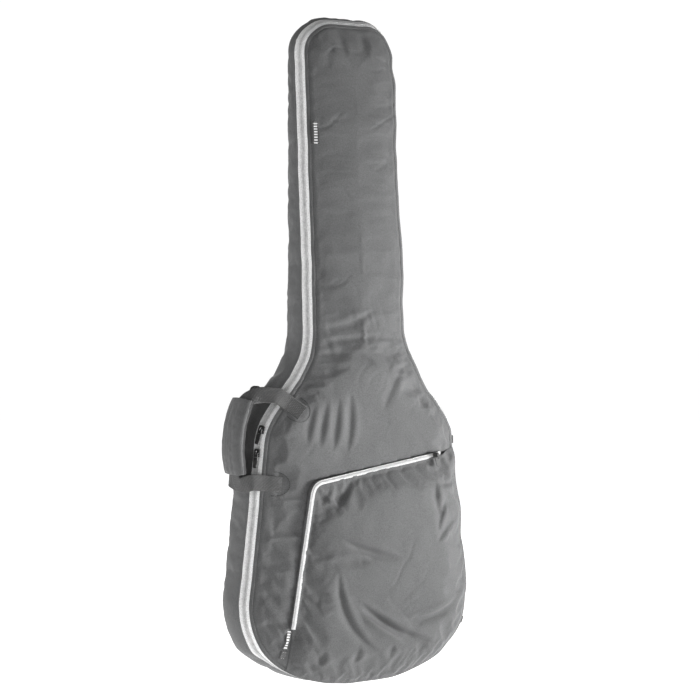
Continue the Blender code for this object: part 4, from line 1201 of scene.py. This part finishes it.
def build_side():
    arc = SEAM.loop()
    points, normals, _ = SEAM.sample(arc)
    curve = gusset_columns(seam_y(points[:, 1]), arc)
    rows = np.stack([beside(points, normals, c[:, 0], c[:, 1]) for c in curve], axis=1)
    across = np.linspace(0.0, 0.072, rows.shape[1])
    piece = grid("side_gusset_padded", rows, MATERIALS["gusset"], across, arc, closed_rows=True)
    held = np.zeros(rows.shape[:2])
    held[:, (0, 1, -1, -2)] = (1.0, 0.8, 1.0, 0.8)
    outward = np.stack((normals[:, 0], normals[:, 0] * 0, normals[:, 1]), 1)
    if (normals_of(piece).reshape(*rows.shape)[:, 6] * outward).sum() < 0:
        piece.data.flip_normals()
    settle(piece, held.ravel(), 0.012, 0.6, 1.5, 0.003)
    refine(piece)
    points = coords(piece)
    x, h = bag_xh(points)
    _, where, _ = distance_to_line(pairs(x, h), FINE_POINTS, closed=True)
    depth_y = points[:, 1] + HANG_POINT[1]
    front_gap = depth_y - side_start(seam_y(h), where)
    near = np.minimum(front_gap, BACK_SEAM_Y - depth_y)
    pucker = value_noise(where, front_gap, 0.010, 91) * np.exp(-((near - 0.008) / 0.007) ** 2)
    lumps = value_noise(where, front_gap, 0.030, 92)
    groove = -0.0007 * np.exp(-((near - 0.0045) / 0.0012) ** 2)
    depth = 0.0006 * pucker + 0.0006 * lumps * np.clip(near / 0.015, 0, 1) + groove
    set_coords(piece, points + normals_of(piece) * depth[:, None])
    finished(piece, "root", "gusset", "side_gusset", "gusset_foam")
    return tree_of(piece)


def build_sewn_side():
    """Plain strip that joins the cover to the side where there is no zip: the bag's hinge."""
    def profile(seam, arc):
        ripple = 0.0004 * noise_along(arc, 0.013, 101)
        us = np.linspace(0.0002, BAND_WIDTH - 0.0002, 7)
        top = [band(u, 0.0010 * math.sin(math.pi * u / BAND_WIDTH) + ripple, seam, arc)
               for u in us]
        return top + [band(u, -0.0009, seam, arc) for u in reversed(us)]
    piece = seam_ribbon("sewn_side_fabric", SEWN_PLACES, profile, MATERIALS["gusset"],
                        step=0.003)
    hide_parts("sewn_side_strip")
    start = at(LOWER_HALF, FRONT_SEAM_Y + 0.002, WIDEST_HEIGHT)
    depth = (BAND_WIDTH - 0.002) * math.cos(BAND_TILT)
    end = at(LOWER_HALF, FRONT_SEAM_Y + depth, WIDEST_HEIGHT)
    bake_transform(piece)


def end_tab(name, node, places):
    """Small stitched tab that covers an end of the main zip."""
    def profile(seam, arc):
        us = np.linspace(0.0010, BAND_WIDTH - 0.0010, 6)
        top = [band(u, 0.0032 - 0.0010 * abs(u / BAND_WIDTH - 0.5), seam, arc) for u in us]
        return top + [band(u, 0.0004, seam, arc) for u in reversed(us)]
    piece = seam_ribbon(name, places, profile, MATERIALS["webbing"], step=0.002)
    piece.data.set_sharp_from_angle(angle=math.radians(50))
    return finished(piece, "root", "webbing", node)


def edge_stitching():
    """Topstitching on both sides of the zip, on the front panel and on the gusset."""
    arc = SEAM.loop(0.003)
    arc = np.append(arc, SEAM.length)
    points, normals, _ = SEAM.sample(arc)
    for name, tree, inset, sign, body, slot in (
            ("front_seam_stitches", TREES["front"], TOPSTITCH, -1, "front_cover", "shell"),
            ("back_seam_stitches", TREES["back"], TOPSTITCH, 1, "root", "shell")):
        place = points - normals * inset
        line, out = surface_points(tree, place[:, 0], place[:, 1], sign, 0.0001)
        finished(stitches(name, line, out, MATERIALS["thread"]), body, slot)
    seam = seam_y(points[:, 1])
    start = side_start(seam, arc) + 0.0045
    guess = beside(points, normals, 0.03, start)
    line, out = [], []
    for place, normal in zip(guess, normals):
        ahead = Vector((-normal[0], 0.0, -normal[1]))
        hit, facing, _, _ = TREES["side"].ray_cast(Vector(place), ahead)
        if hit is None:
            hit, facing, _, _ = TREES["side"].find_nearest(Vector(place))
        line.append(hit)
        out.append(facing if facing.dot(ahead) < 0 else -facing)
    finished(stitches("gusset_seam_stitches", np.array(line), np.array(out),
                      MATERIALS["thread"]), "root", "gusset")


# ------------------------------------------------------------------ webbing

def eased(values, step, ease):
    """Gaussian smoothing that leaves both ends where they are."""
    reach = min(int(3 * ease / step), len(values) - 1)
    if reach < 1:
        return values
    head = 2 * values[0] - values[1:reach + 1][::-1]
    tail = 2 * values[-1] - values[-reach - 1:-1][::-1]
    full = np.vstack((head, values, tail))
    return sum(w * full[k:k + len(values)] for k, w in enumerate(bell(reach, step, ease)))


class Strip:
    """Path of a strap with the direction of its width and of its face at each station."""

    def __init__(self, points, sides, step=0.003, ease=0.005):
        points, sides = np.array(points, float), np.array(sides, float)
        arc = arc_along(points)
        count = max(int(round(arc[-1] / step)), 4)
        self.arc = np.linspace(0.0, arc[-1], count + 1)
        even = read_along(self.arc, arc, points)
        wide = read_along(self.arc, arc, sides)
        self.line = eased(even, step, ease)
        wide = unit(eased(wide, step, ease))
        self.along = unit(np.gradient(self.line, axis=0))
        self.face = unit(np.cross(self.along, wide))
        self.edge = unit(np.cross(self.face, self.along))

    def offset(self, across, lift):
        return self.line + self.edge * across + self.face * lift

    def body(self, name, shape, width, thickness, material, scale=None):
        """Closed strap; shape is a ring of (across, lift) shares of width and thickness."""
        scale = np.ones(len(self.line)) if scale is None else scale
        columns = [self.line + self.edge * (a * width) * scale[:, None]
                   + self.face * (b * thickness) * scale[:, None] for a, b in shape]
        rows = np.stack(columns, axis=1)
        across = np.array([a for a, _ in shape]) * width
        piece = grid(name, rows, material, across, self.arc, closed_columns=True, caps=True)
        piece.data.set_sharp_from_angle(angle=math.radians(55))
        return piece


def strap_section(corner):
    """Closed section from one corner's (across, lift) shares, mirrored all the way round."""
    low = [(-a, -b) for a, b in corner] + [(0.0, -0.5)] + [(a, -b) for a, b in reversed(corner)]
    return low + [(-a, -b) for a, b in low]


FLAT_SHAPE = strap_section(((0.5, 0.15), (0.485, 0.45), (0.42, 0.5), (0.2, 0.46)))
PAD_SHAPE = strap_section(((0.5, 0.08), (0.485, 0.20), (0.45, 0.27), (0.40, 0.40), (0.30, 0.49),
                           (0.15, 0.5)))


def strap_stitches(name, strip, across, lift, body, start, end):
    """Row of stitches along a strap at one offset from its middle, over part of its run."""
    first = int(start * (len(strip.line) - 1))
    last = int(end * (len(strip.line) - 1)) + 1
    line = strip.offset(across, lift)[first:last]
    out = strip.face[first:last] * math.copysign(1.0, lift)
    finished(stitches(name, line, out, MATERIALS["thread"]), body, "webbing")


def edge_rows(name, strip, half, lift, body, start, end):
    """A row of stitches along each edge of a strap."""
    for across, tag in ((-half, "a"), (half, "b")):
        strap_stitches(f"{name}_{tag}", strip, across, lift, body, start, end)


def cross_stitches(name, strip, station, width, lift, body, material="thread"):
    """Row of stitches straight across a strap."""
    index = int(round(station * (len(strip.line) - 1)))
    spots = np.linspace(-width / 2, width / 2, 12)[:, None]
    line = strip.line[index] + strip.edge[index] * spots + strip.face[index] * lift
    out = np.repeat(strip.face[index][None] * math.copysign(1.0, lift), len(spots), axis=0)
    finished(stitches(name, line, out, MATERIALS[material]), body, "webbing")


def cross_rows(name, strip, stations, width, lift):
    """Rows of stitches across a strap on the back, at some shares of its length."""
    for station in stations:
        cross_stitches(f"{name}_cross_{int(station * 100)}", strip, station, width, lift, "root")


def handle_path(surface, seam_side_y, layer, side, turn):
    """Stations of one handle loop, as in the CAD: sewn run, grip, sewn run."""
    def seam_frame(place):
        return [values[0] for values in SEAM.sample(np.array([SEAM.at_place(place)]))]

    def crossing(place, distance, y):
        point, normal, _ = seam_frame(place)
        spot = point + normal * distance
        return at(spot[0], y, spot[1])

    def sewn(place, distances):
        point, normal, _ = seam_frame(place)
        return [surface(*(point + normal * distance)) for distance in distances]

    def tangent(place):
        _, normal, _ = seam_frame(place)
        return np.array((normal[1], 0.0, -normal[0]))

    upper_side, lower_side = tangent(UPPER_CROSSING) * turn, tangent(LOWER_CROSSING) * -turn
    fold_y = GRIP_Y + FOLD_SPREAD * side
    points = sewn(UPPER_CROSSING, (-0.030, -0.018, -0.005))
    points += [crossing(UPPER_CROSSING, 0.014, seam_side_y),
               at(-0.170 + layer, fold_y + 0.006 * side, 0.4575),
               at(-0.184 + layer * 3, fold_y, 0.4530)]
    across = [upper_side] * 4 + [np.array((0.25, 0.0, 0.97)) * turn,
                                 unit(np.array((0.0, 1.0, turn)))]
    points += [at(x + layer, GRIP_Y, h) for x, h in GRIP]
    across += [np.array((0.0, 1.0, 0.0))] * len(GRIP)
    points += [at(-0.1985 + layer * 3, fold_y + 0.002 * side, 0.317),
               crossing(LOWER_CROSSING, 0.0165, seam_side_y)]
    points += sewn(LOWER_CROSSING, (-0.005, -0.018, -0.030))
    across += [unit(np.array((0.0, 1.0, -turn)))] + [lower_side] * 4
    return points, across


def on_surface(tree, sign, lift):
    def place(x, h):
        return surface_points(tree, [x], [h], sign, lift)[0][0]
    return place


def build_handle():
    lift = WEBBING_THICK / 2 + 0.0002
    loops = (("handle_webbing_front", "handle_loop_front", "front_cover", TREES["front"], -1,
              FRONT_SEAM_Y - 0.001, -GRIP_LAYER, 1.0),
             ("handle_webbing_back", "handle_loop_back", "root", TREES["back"], 1,
              BACK_SEAM_Y + 0.001, GRIP_LAYER, -1.0))
    for name, node, body, tree, side, seam_side, layer, turn in loops:
        points, across = handle_path(on_surface(tree, side, lift), seam_side, layer, side, turn)
        strip = Strip(points, across, ease=0.0045)
        piece = strip.body(name, FLAT_SHAPE, WEBBING, WEBBING_THICK, MATERIALS["webbing"])
        finished(piece, body, "webbing", node)
        for start, end, tag in ((0.0, 0.09, "upper"), (0.91, 1.0, "lower")):
            outward = strip.face[int(start * (len(strip.line) - 1)) + 2][1] * side
            lift_here = math.copysign(WEBBING_THICK / 2, outward)
            edge_rows(f"{name}_{tag}_stitches", strip, 0.0105, lift_here, body, start, end)
            for station in (start + 0.008, start + 0.075):
                cross_stitches(f"{name}_{tag}_cross_{int(station * 1000)}", strip,
                               min(station, 0.995), 0.021, lift_here, body)
    sewn_outline("handle_patch_upper", UPPER_CROSSING)
    sewn_outline("handle_patch_lower", LOWER_CROSSING)


def sewn_outline(name, place):
    """Rounded line of stitches round a handle tab on the front panel."""
    point, normal, tangent = (v[0] for v in SEAM.sample(np.array([SEAM.at_place(place)])))
    turn = np.radians(np.linspace(-100, 100, 30))
    centre = point - normal * 0.020
    spots = centre - np.outer(np.cos(turn), normal) * 0.022
    spots = spots + np.outer(np.sin(turn), tangent) * 0.0185
    line, out = surface_points(TREES["front"], spots[:, 0], spots[:, 1], -1, 0.0003)
    piece = stitches(name, line, out, MATERIALS["binding"], 0.0030, 0.0029, 0.00045)
    finished(piece, "front_cover", "webbing")


def build_wrap():
    """Padded wrap round both loops, a C open to the back, creased along its length, with painted shade
    on the faces that look towards the bag.
    """
    path = np.array(((-0.1905, 0.4505), (-0.1985, 0.430), (-0.2050, 0.408), (-0.2085, 0.372),
                     (-0.2052, 0.347), (-0.2036, 0.335)))
    points = at(path[:, 0], GRIP_Y, path[:, 1])
    strip = Strip(points, [(0.0, 1.0, 0.0)] * len(points), step=0.0025, ease=0.006)
    outer = smooth_curve(((0.0034, 0.0285), (0.0095, 0.0225), (0.0125, 0.0), (0.0095, -0.0225),
                          (0.0, -0.0305), (-0.0090, -0.0225), (-0.0115, 0.0),
                          (-0.0100, 0.0215), (-0.0080, 0.0275)), 4)
    inner = np.array(((-0.0048, 0.0255), (-0.0046, 0.0), (-0.0046, -0.0170), (-0.0020, -0.0192),
                      (0.0012, -0.0192), (0.0034, -0.0170), (0.0034, 0.0), (0.0030, 0.0265)))
    ring = np.vstack((outer, inner))
    out = np.cross(strip.along, np.array((0.0, 1.0, 0.0)))
    share = strip.arc / strip.arc[-1]
    swell = 1 - 0.22 * np.exp(-share / 0.05) - 0.22 * np.exp(-(1 - share) / 0.05)
    columns = []
    for k, (a, b) in enumerate(ring):
        scale = swell if k < len(outer) else np.ones_like(swell)
        columns.append(strip.line + np.array((0.0, 1.0, 0.0)) * b - out * (a * scale)[:, None])
    rows = np.stack(columns, axis=1)
    across = arc_along(ring)
    piece = grid("grip_wrap_padded", rows, MATERIALS["wrap"], across, strip.arc,
                 closed_columns=True, caps=True)
    refine(piece)
    points = coords(piece)
    depth_y = points[:, 1] + HANG_POINT[1] - GRIP_Y
    height = points[:, 2] + HANG_POINT[2]
    centre = np.interp(height, strip.line[::-1, 2] + HANG_POINT[2], strip.line[::-1, 0])
    is_outer = np.abs(points[:, 0] - centre) > 0.0052
    press = np.zeros(len(points))
    # each pressed line's place across the wrap, drift with height, width and depth
    for offset, drift, width, depth in ((-0.0135, 0.05, 0.0020, 0.0013),
                                        (-0.0060, -0.04, 0.0022, 0.0011),
                                        (0.0030, 0.06, 0.0022, 0.0014),
                                        (0.0110, -0.05, 0.0020, 0.0010)):
        where = offset + drift * (height - 0.39) + 0.0015 * noise_along(height, 0.02, 7)
        press += depth * np.exp(-((depth_y - where) / width) ** 2)
    press += 0.0005 * value_noise(depth_y, height, 0.007, 8)
    fade = np.clip((height - 0.332) / 0.012, 0, 1) * np.clip((0.447 - height) / 0.012, 0, 1)
    press = press * is_outer * fade
    set_coords(piece, points - normals_of(piece) * press[:, None])
    # Faces that look towards the bag, up, down or back get the dark binding tape material. This is
    # painted shade on the wrap's inner side, which the key light from the right would otherwise light.
    piece.data.materials.append(MATERIALS["binding"])
    for face in piece.data.polygons:
        face.material_index = int(face.normal.x > -0.10 and face.normal.y > -0.95)
    finished(piece, "front_cover", "shell", "handle_wrap")


# ------------------------------------------------------------------ pocket

def pocket_boundary():
    flap_edge = LINE + LINE_IN * (TAPE_WIDTH - 0.0012)
    arc = SEAM.run((-3.6, 11.7), 0.0045)
    points, normals, _ = SEAM.sample(arc)
    rim = (points - normals * 0.0012)[::-1]
    keep = flap_edge[::2]
    left = np.linspace(rim[-1], keep[0], 12)[1:-1]
    right = np.linspace(keep[-1], rim[0], 9)[1:-1]
    return np.vstack((keep, right, rim, left)), left, right


def build_pocket():
    boundary, left, right = pocket_boundary()
    edge_line = LINE + LINE_IN * (TAPE_WIDTH - 0.0012)

    def keep(points):
        gap, _, side = distance_to_line(points, boundary, closed=True)
        return (gap > 0.0035) & (side < 0)

    def surface(x, h):
        xh = pairs(x, h)
        full = pocket_y(x, h)
        gap, where, _ = distance_to_line(xh, edge_line)
        line_depth = np.interp(where, LINE_ARC, LINE_DEPTH) + 0.0002
        near = np.exp(-(gap / 0.028) ** 2)
        full = full * (1 - near) + line_depth * near
        left_gap, _, _ = distance_to_line(xh, left)
        down = np.exp(-(left_gap / 0.012) ** 2)
        right_gap, along, _ = distance_to_line(xh, right)
        down_right = np.exp(-(right_gap / 0.012) ** 2) * ramp(along, 0.0, 0.014)
        down = np.maximum(down, down_right)
        return full * (1 - down) + (front_y(x, h) - SEAM_SINK) * down

    piece = sheet_lattice("pocket_front", boundary, [], MATERIALS["pocket"], keep, surface, 0.0050)
    face_towards(piece, (0, -1, 0))
    x, h = bag_xh(coords(piece))
    gap, _, _ = distance_to_line(pairs(x, h), boundary, closed=True)
    settle(piece, (0.010 - gap) / 0.008, 0.022, 1.2, 0.6, 0.006)
    refine(piece)
    points = coords(piece)
    x, h = bag_xh(points)
    gap, where, _ = distance_to_line(pairs(x, h), boundary, closed=True)
    lumps = value_noise(x, h, 0.040, 121) + 0.5 * value_noise(x, h, 0.018, 122)
    pucker = value_noise(where, gap, 0.011, 123) * np.exp(-((gap - 0.009) / 0.008) ** 2)
    groove = 0.0008 * np.exp(-((gap - 0.0055) / 0.0013) ** 2)
    depth = groove - 0.0008 * lumps * np.clip(gap / 0.02, 0, 1) - 0.0008 * pucker
    worn = crease_depth(x, h, pocket_creases(), POCKET_GAIN) + pocket_folds(x, h)
    depth += worn * np.clip(gap / 0.008, 0, 1)
    points[:, 1] += depth
    limit = surface_points(TREES["front"], x, h, -1, 0.0)[0][:, 1] - 0.0010
    points[:, 1] = np.minimum(points[:, 1], limit)
    set_coords(piece, points)
    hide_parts("pocket_panel", "pocket_flap")
    foot, end = edge_line[0], edge_line[-1]
    middle = (foot + end) / 2
    run = (end - foot) / np.linalg.norm(end - foot)
    side = np.array((run[1], -run[0])) * 0.016
    y = -0.080
    tuple(at(middle[0] + side[0], y, middle[1] + side[1]))
    tuple(at(middle[0] - side[0], y, middle[1] - side[1]))
    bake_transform(piece)
    return piece


def line_ribbon(name, columns, material, body, slot, *nodes):
    """Ribbon with a closed section along the pocket zip; columns give (inward, y) arrays."""
    rows = np.stack([beside(LINE, LINE_IN, inward, y) for inward, y in columns], axis=1)
    across = arc_along(rows[0])
    piece = grid(name, rows, material, across, LINE_ARC, closed_columns=True, caps=True)
    piece.data.set_sharp_from_angle(angle=math.radians(50))
    return finished(piece, body, slot, *nodes)


def build_pocket_zip():
    ripple = 0.0003 * noise_along(LINE_ARC, 0.012, 131)
    top = LINE_DEPTH + ripple
    top += 0.0030 * ramp(LINE_ARC, LINE_ARC[-1] - 0.009, LINE_ARC[-1] - 0.004)
    tape = ((0.0001, top - 0.0002), (0.0035, top - 0.0005), (TAPE_WIDTH, top - 0.0001),
            (TAPE_WIDTH, top + 0.0009), (0.0001, top + 0.0008))
    line_ribbon("pocket_zip_tape_woven", tape, MATERIALS["tape_pocket"], "flap", "zip_tape",
                "pocket_zip_tape")
    spots = np.arange(0.002, LINE_ARC[-1] - 0.008, 0.0018)
    point = read_along(spots, LINE_ARC, LINE)
    inward = unit(read_along(spots, LINE_ARC, LINE_IN))
    y = np.interp(spots, LINE_ARC, top)
    centre = beside(point, inward, 0.0032, y - 0.0008)
    zero = np.zeros(len(spots))
    across = np.stack((inward[:, 0], zero, inward[:, 1]), 1)
    along = np.stack((-inward[:, 1], zero, inward[:, 0]), 1)
    out = np.repeat(np.array([[0.0, -1.0, 0.0]]), len(spots), axis=0)
    lean = unit(across + along * 0.3)
    piece = scatter("pocket_zip_coil_nylon", capsule(8, 4, 0.6), centre, lean * 0.0019,
                    unit(np.cross(out, lean)) * 0.00065, out * 0.0008, MATERIALS["coil_light"])
    finished(piece, "flap", "zip_tape", "pocket_zip_coil")
    foot = front_y(LINE[:, 0], LINE[:, 1]) + 0.0010
    wall = ((0.0000, foot), (0.0000, top + 0.0016), (0.0006, top + 0.0010), (0.0018, top + 0.0010),
            (0.0014, foot))
    line_ribbon("pocket_wall_fabric", wall, MATERIALS["shell"], "front_cover", "gusset",
                "pocket_wall")


def small_label(name, node, spec, thickness, kind):
    """Small patch on the front panel, stitched along both short ends."""
    start, end, width = spec
    count = 9
    xs, hs = np.linspace(start[0], end[0], count), np.linspace(start[1], end[1], count)
    line, out = surface_points(TREES["front"], xs, hs, -1, 0.0009)
    sides = np.cross(out, np.gradient(line, axis=0))
    strip = Strip(line, unit(sides), step=0.0015, ease=0.002)
    piece = strip.body(name, FLAT_SHAPE, width, thickness, MATERIALS[kind])
    finished(piece, "front_cover", kind, node)
    lift = math.copysign(thickness / 2, -strip.face[2][1])
    for station, tag in ((0.07, "a"), (0.93, "b")):
        cross_stitches(f"{name}_stitches_{tag}", strip, station, width * 0.86, lift,
                       "front_cover", "thread_light")


# ------------------------------------------------------------------ back straps and hanging loop

def back_point(x, lift, h):
    return at(x, BACK_SEAM_Y + BACK_CROWN + lift, h)


def build_back_strap(side, name):
    path = [back_point(x * side, lift, h) for x, lift, h in SHOULDER_PATH]
    strip = Strip(path, [(1.0, 0.0, 0.15 * side)] * len(path), step=0.004, ease=0.010)
    share = strip.arc / strip.arc[-1]
    scale = 1 - 0.10 * np.exp(-((1 - share) / 0.03) ** 2)
    piece = strip.body("shoulder_pad_" + name, PAD_SHAPE, 0.050, 0.0100, MATERIALS["shell_back"],
                       scale)
    refine(piece)
    points = coords(piece)
    bumps = value_noise(points[:, 0], points[:, 2], 0.018, 140 + side)
    set_coords(piece, points + normals_of(piece) * (0.0005 * bumps)[:, None])
    finished(piece, "root", "shell", "shoulder_strap_" + name)
    for across, tag in ((-0.0205, "a"), (0.0205, "b")):
        for lift, face_name in ((0.0042, "outer"), (-0.0042, "inner")):
            strap_stitches(f"shoulder_{name}_stitches_{face_name}_{tag}", strip, across, lift,
                           "root", 0.03, 0.97)
    top = back_point(WEBBING_TOP[0] * side, *WEBBING_TOP[1:])
    foot = back_point(WEBBING_FOOT[0] * side, *WEBBING_FOOT[1:])
    run = unit(foot - top)
    wide = unit(np.cross(np.array((0.0, 1.0, 0.0)), run))
    webbing = Strip([top, foot], [wide, wide])
    piece = webbing.body("strap_webbing_woven_" + name, FLAT_SHAPE, WEBBING, BACK_WEBBING_THICK,
                         MATERIALS["webbing"])
    finished(piece, "root", "webbing", "strap_webbing_" + name)
    xs = np.linspace(0.1270, 0.1170, 7) * side
    hs = np.linspace(0.0880, 0.1160, 7)
    line, _ = surface_points(TREES["back"], xs, hs, 1, 0.0014)
    tab = Strip(line, [wide] * len(line), step=0.002, ease=0.002)
    piece = tab.body("strap_anchor_sewn_" + name, FLAT_SHAPE, 0.036, BACK_WEBBING_THICK,
                     MATERIALS["webbing"])
    finished(piece, "root", "webbing", "strap_anchor_" + name)
    lift = math.copysign(BACK_WEBBING_THICK / 2, tab.face[2][1])
    cross_rows("anchor_" + name, tab, (0.08, 0.5, 0.92), 0.031, lift)
    edge_rows(f"anchor_{name}_edge", tab, 0.0155, lift, "root", 0.06, 0.94)


def build_yoke():
    xs = np.linspace(-0.062, 0.062, 21)
    line, _ = surface_points(TREES["back"], xs, np.full(21, YOKE_HEIGHT), 1, 0.0012)
    strip = Strip(line, [(0.0, 0.0, 1.0)] * 21, step=0.004, ease=0.004)
    piece = strip.body("strap_yoke_patch", FLAT_SHAPE, 0.038, BACK_WEBBING_THICK,
                       MATERIALS["shell_back"])
    finished(piece, "root", "shell", "strap_yoke")
    lift = math.copysign(BACK_WEBBING_THICK / 2, strip.face[3][1])
    edge_rows("yoke_stitches", strip, 0.0155, lift, "root", 0.02, 0.98)
    cross_rows("yoke", strip, (0.02, 0.28, 0.5, 0.72, 0.98), 0.031, lift)


def build_hang_loop():
    half = ((-0.034, None, 0.950), (-0.034, None, 0.982), (-0.0325, 0.0550, 1.006),
            (-0.0255, 0.0600, 1.023), (-0.0130, 0.0600, 1.0321))
    sides = ((1, 0, 0), (1, 0, 0), (1, 1, 0), (0.1, 1, 0), (0, 1, 0))
    sewn = on_surface(TREES["back"], 1, 0.0014)

    def place(x, y, h, turn):
        return at(x * turn, y, h) if y else sewn(x * turn, h)
    points = [place(*p, 1) for p in half] + [place(*p, -1) for p in reversed(half)]
    across = [unit(np.array(s, float)) for s in sides]
    across += [unit(np.array((-s[0], s[1], s[2]), float)) for s in reversed(sides)]
    strip = Strip(points, across, step=0.0025, ease=0.0035)
    piece = strip.body("hang_loop_webbing", FLAT_SHAPE, 0.020, 0.0022, MATERIALS["webbing"])
    finished(piece, "root", "webbing", "hang_loop")
    for start, end, tag in ((0.01, 0.13, "left"), (0.87, 0.99, "right")):
        facing = strip.face[int((start + 0.03) * len(strip.line))][1]
        lift = math.copysign(0.0011, facing)
        edge_rows(f"hang_{tag}_stitches", strip, 0.008, lift, "root", start, end)
        cross_rows("hang_" + tag, strip, (start, end), 0.016, lift)


# ------------------------------------------------------------------ hardware kept from the CAD

def dress_cad_nodes():
    """Gives the CAD's own small hard parts their finish."""
    finishes = {"metal": ("main_slider_upper", "main_pull_upper", "main_slider_lower",
                          "main_pull_lower"),
                "plastic": ("strap_adjuster_left", "strap_adjuster_right", "pocket_slider",
                            "pocket_pull")}
    for material, nodes in finishes.items():
        for node in nodes:
            piece = bpy.data.objects.get(node)
            piece.data.materials.clear()
            piece.data.materials.append(MATERIALS[material])
            rounding = piece.modifiers.new("rounding", "BEVEL")
            rounding.width = 0.0003
            rounding.segments = 2
            rounding.limit_method = "ANGLE"


# ------------------------------------------------------------------ assembly

studio()
MATERIALS = make_materials()
TREES = {"front": build_panel("front", -1, "front_cover", "shell", front_y, panel_creases(),
                             0.025, 11),
         "back": build_panel("back", 1, "root", "shell_back", back_y, (), 0.008, 31),
         "side": build_side()}
lining_panel("front_lining_taffeta", "front_cover", "front_lining", -1)
lining_panel("back_lining_taffeta", "root", "back_lining", 1)
lining_side()
binding("front_binding_tape", "front_cover", "front_seam_binding", "front", 1.0)
binding("back_binding_tape", "root", "back_seam_binding", "back", -1.0)
zip_tape("zip_tape_front_woven", 0.0002, TAPE_SPLIT - 0.0006, MATERIALS["tape_light"],
         "front_cover", "zip_tape_front")
zip_tape("zip_tape_rear_woven", TAPE_SPLIT + 0.0006, BAND_WIDTH - 0.0002,
         MATERIALS["tape_grey"], "root", "zip_tape_rear")
teeth("zip_coil_front_nylon", -1, MATERIALS["coil"], "front_cover", "zip_coil", "zip_coil_front")
teeth("zip_coil_rear_nylon", 1, MATERIALS["coil"], "root", "zip_coil", "zip_coil_rear")
build_sewn_side()
end_tab("zip_end_tab_upper_sewn", "zip_end_tab_upper", (11.78, 11.98))
end_tab("zip_end_tab_lower_sewn", "zip_end_tab_lower", (6.07, 6.45))
edge_stitching()
POCKET = build_pocket()
build_pocket_zip()
build_handle()
build_wrap()
small_label("neck_label_blank", "neck_label", NECK_LABEL, 0.0008, "label")
small_label("pocket_label_blank", "pocket_label", POCKET_LABEL, 0.0008, "label")
small_label("pocket_zip_tab_sewn", "pocket_zip_end_tab", POCKET_END_TAB, 0.0016, "webbing")
build_yoke()
for SIDE, NAME in ((-1, "left"), (1, "right")):
    build_back_strap(SIDE, NAME)
build_hang_loop()
dress_cad_nodes()
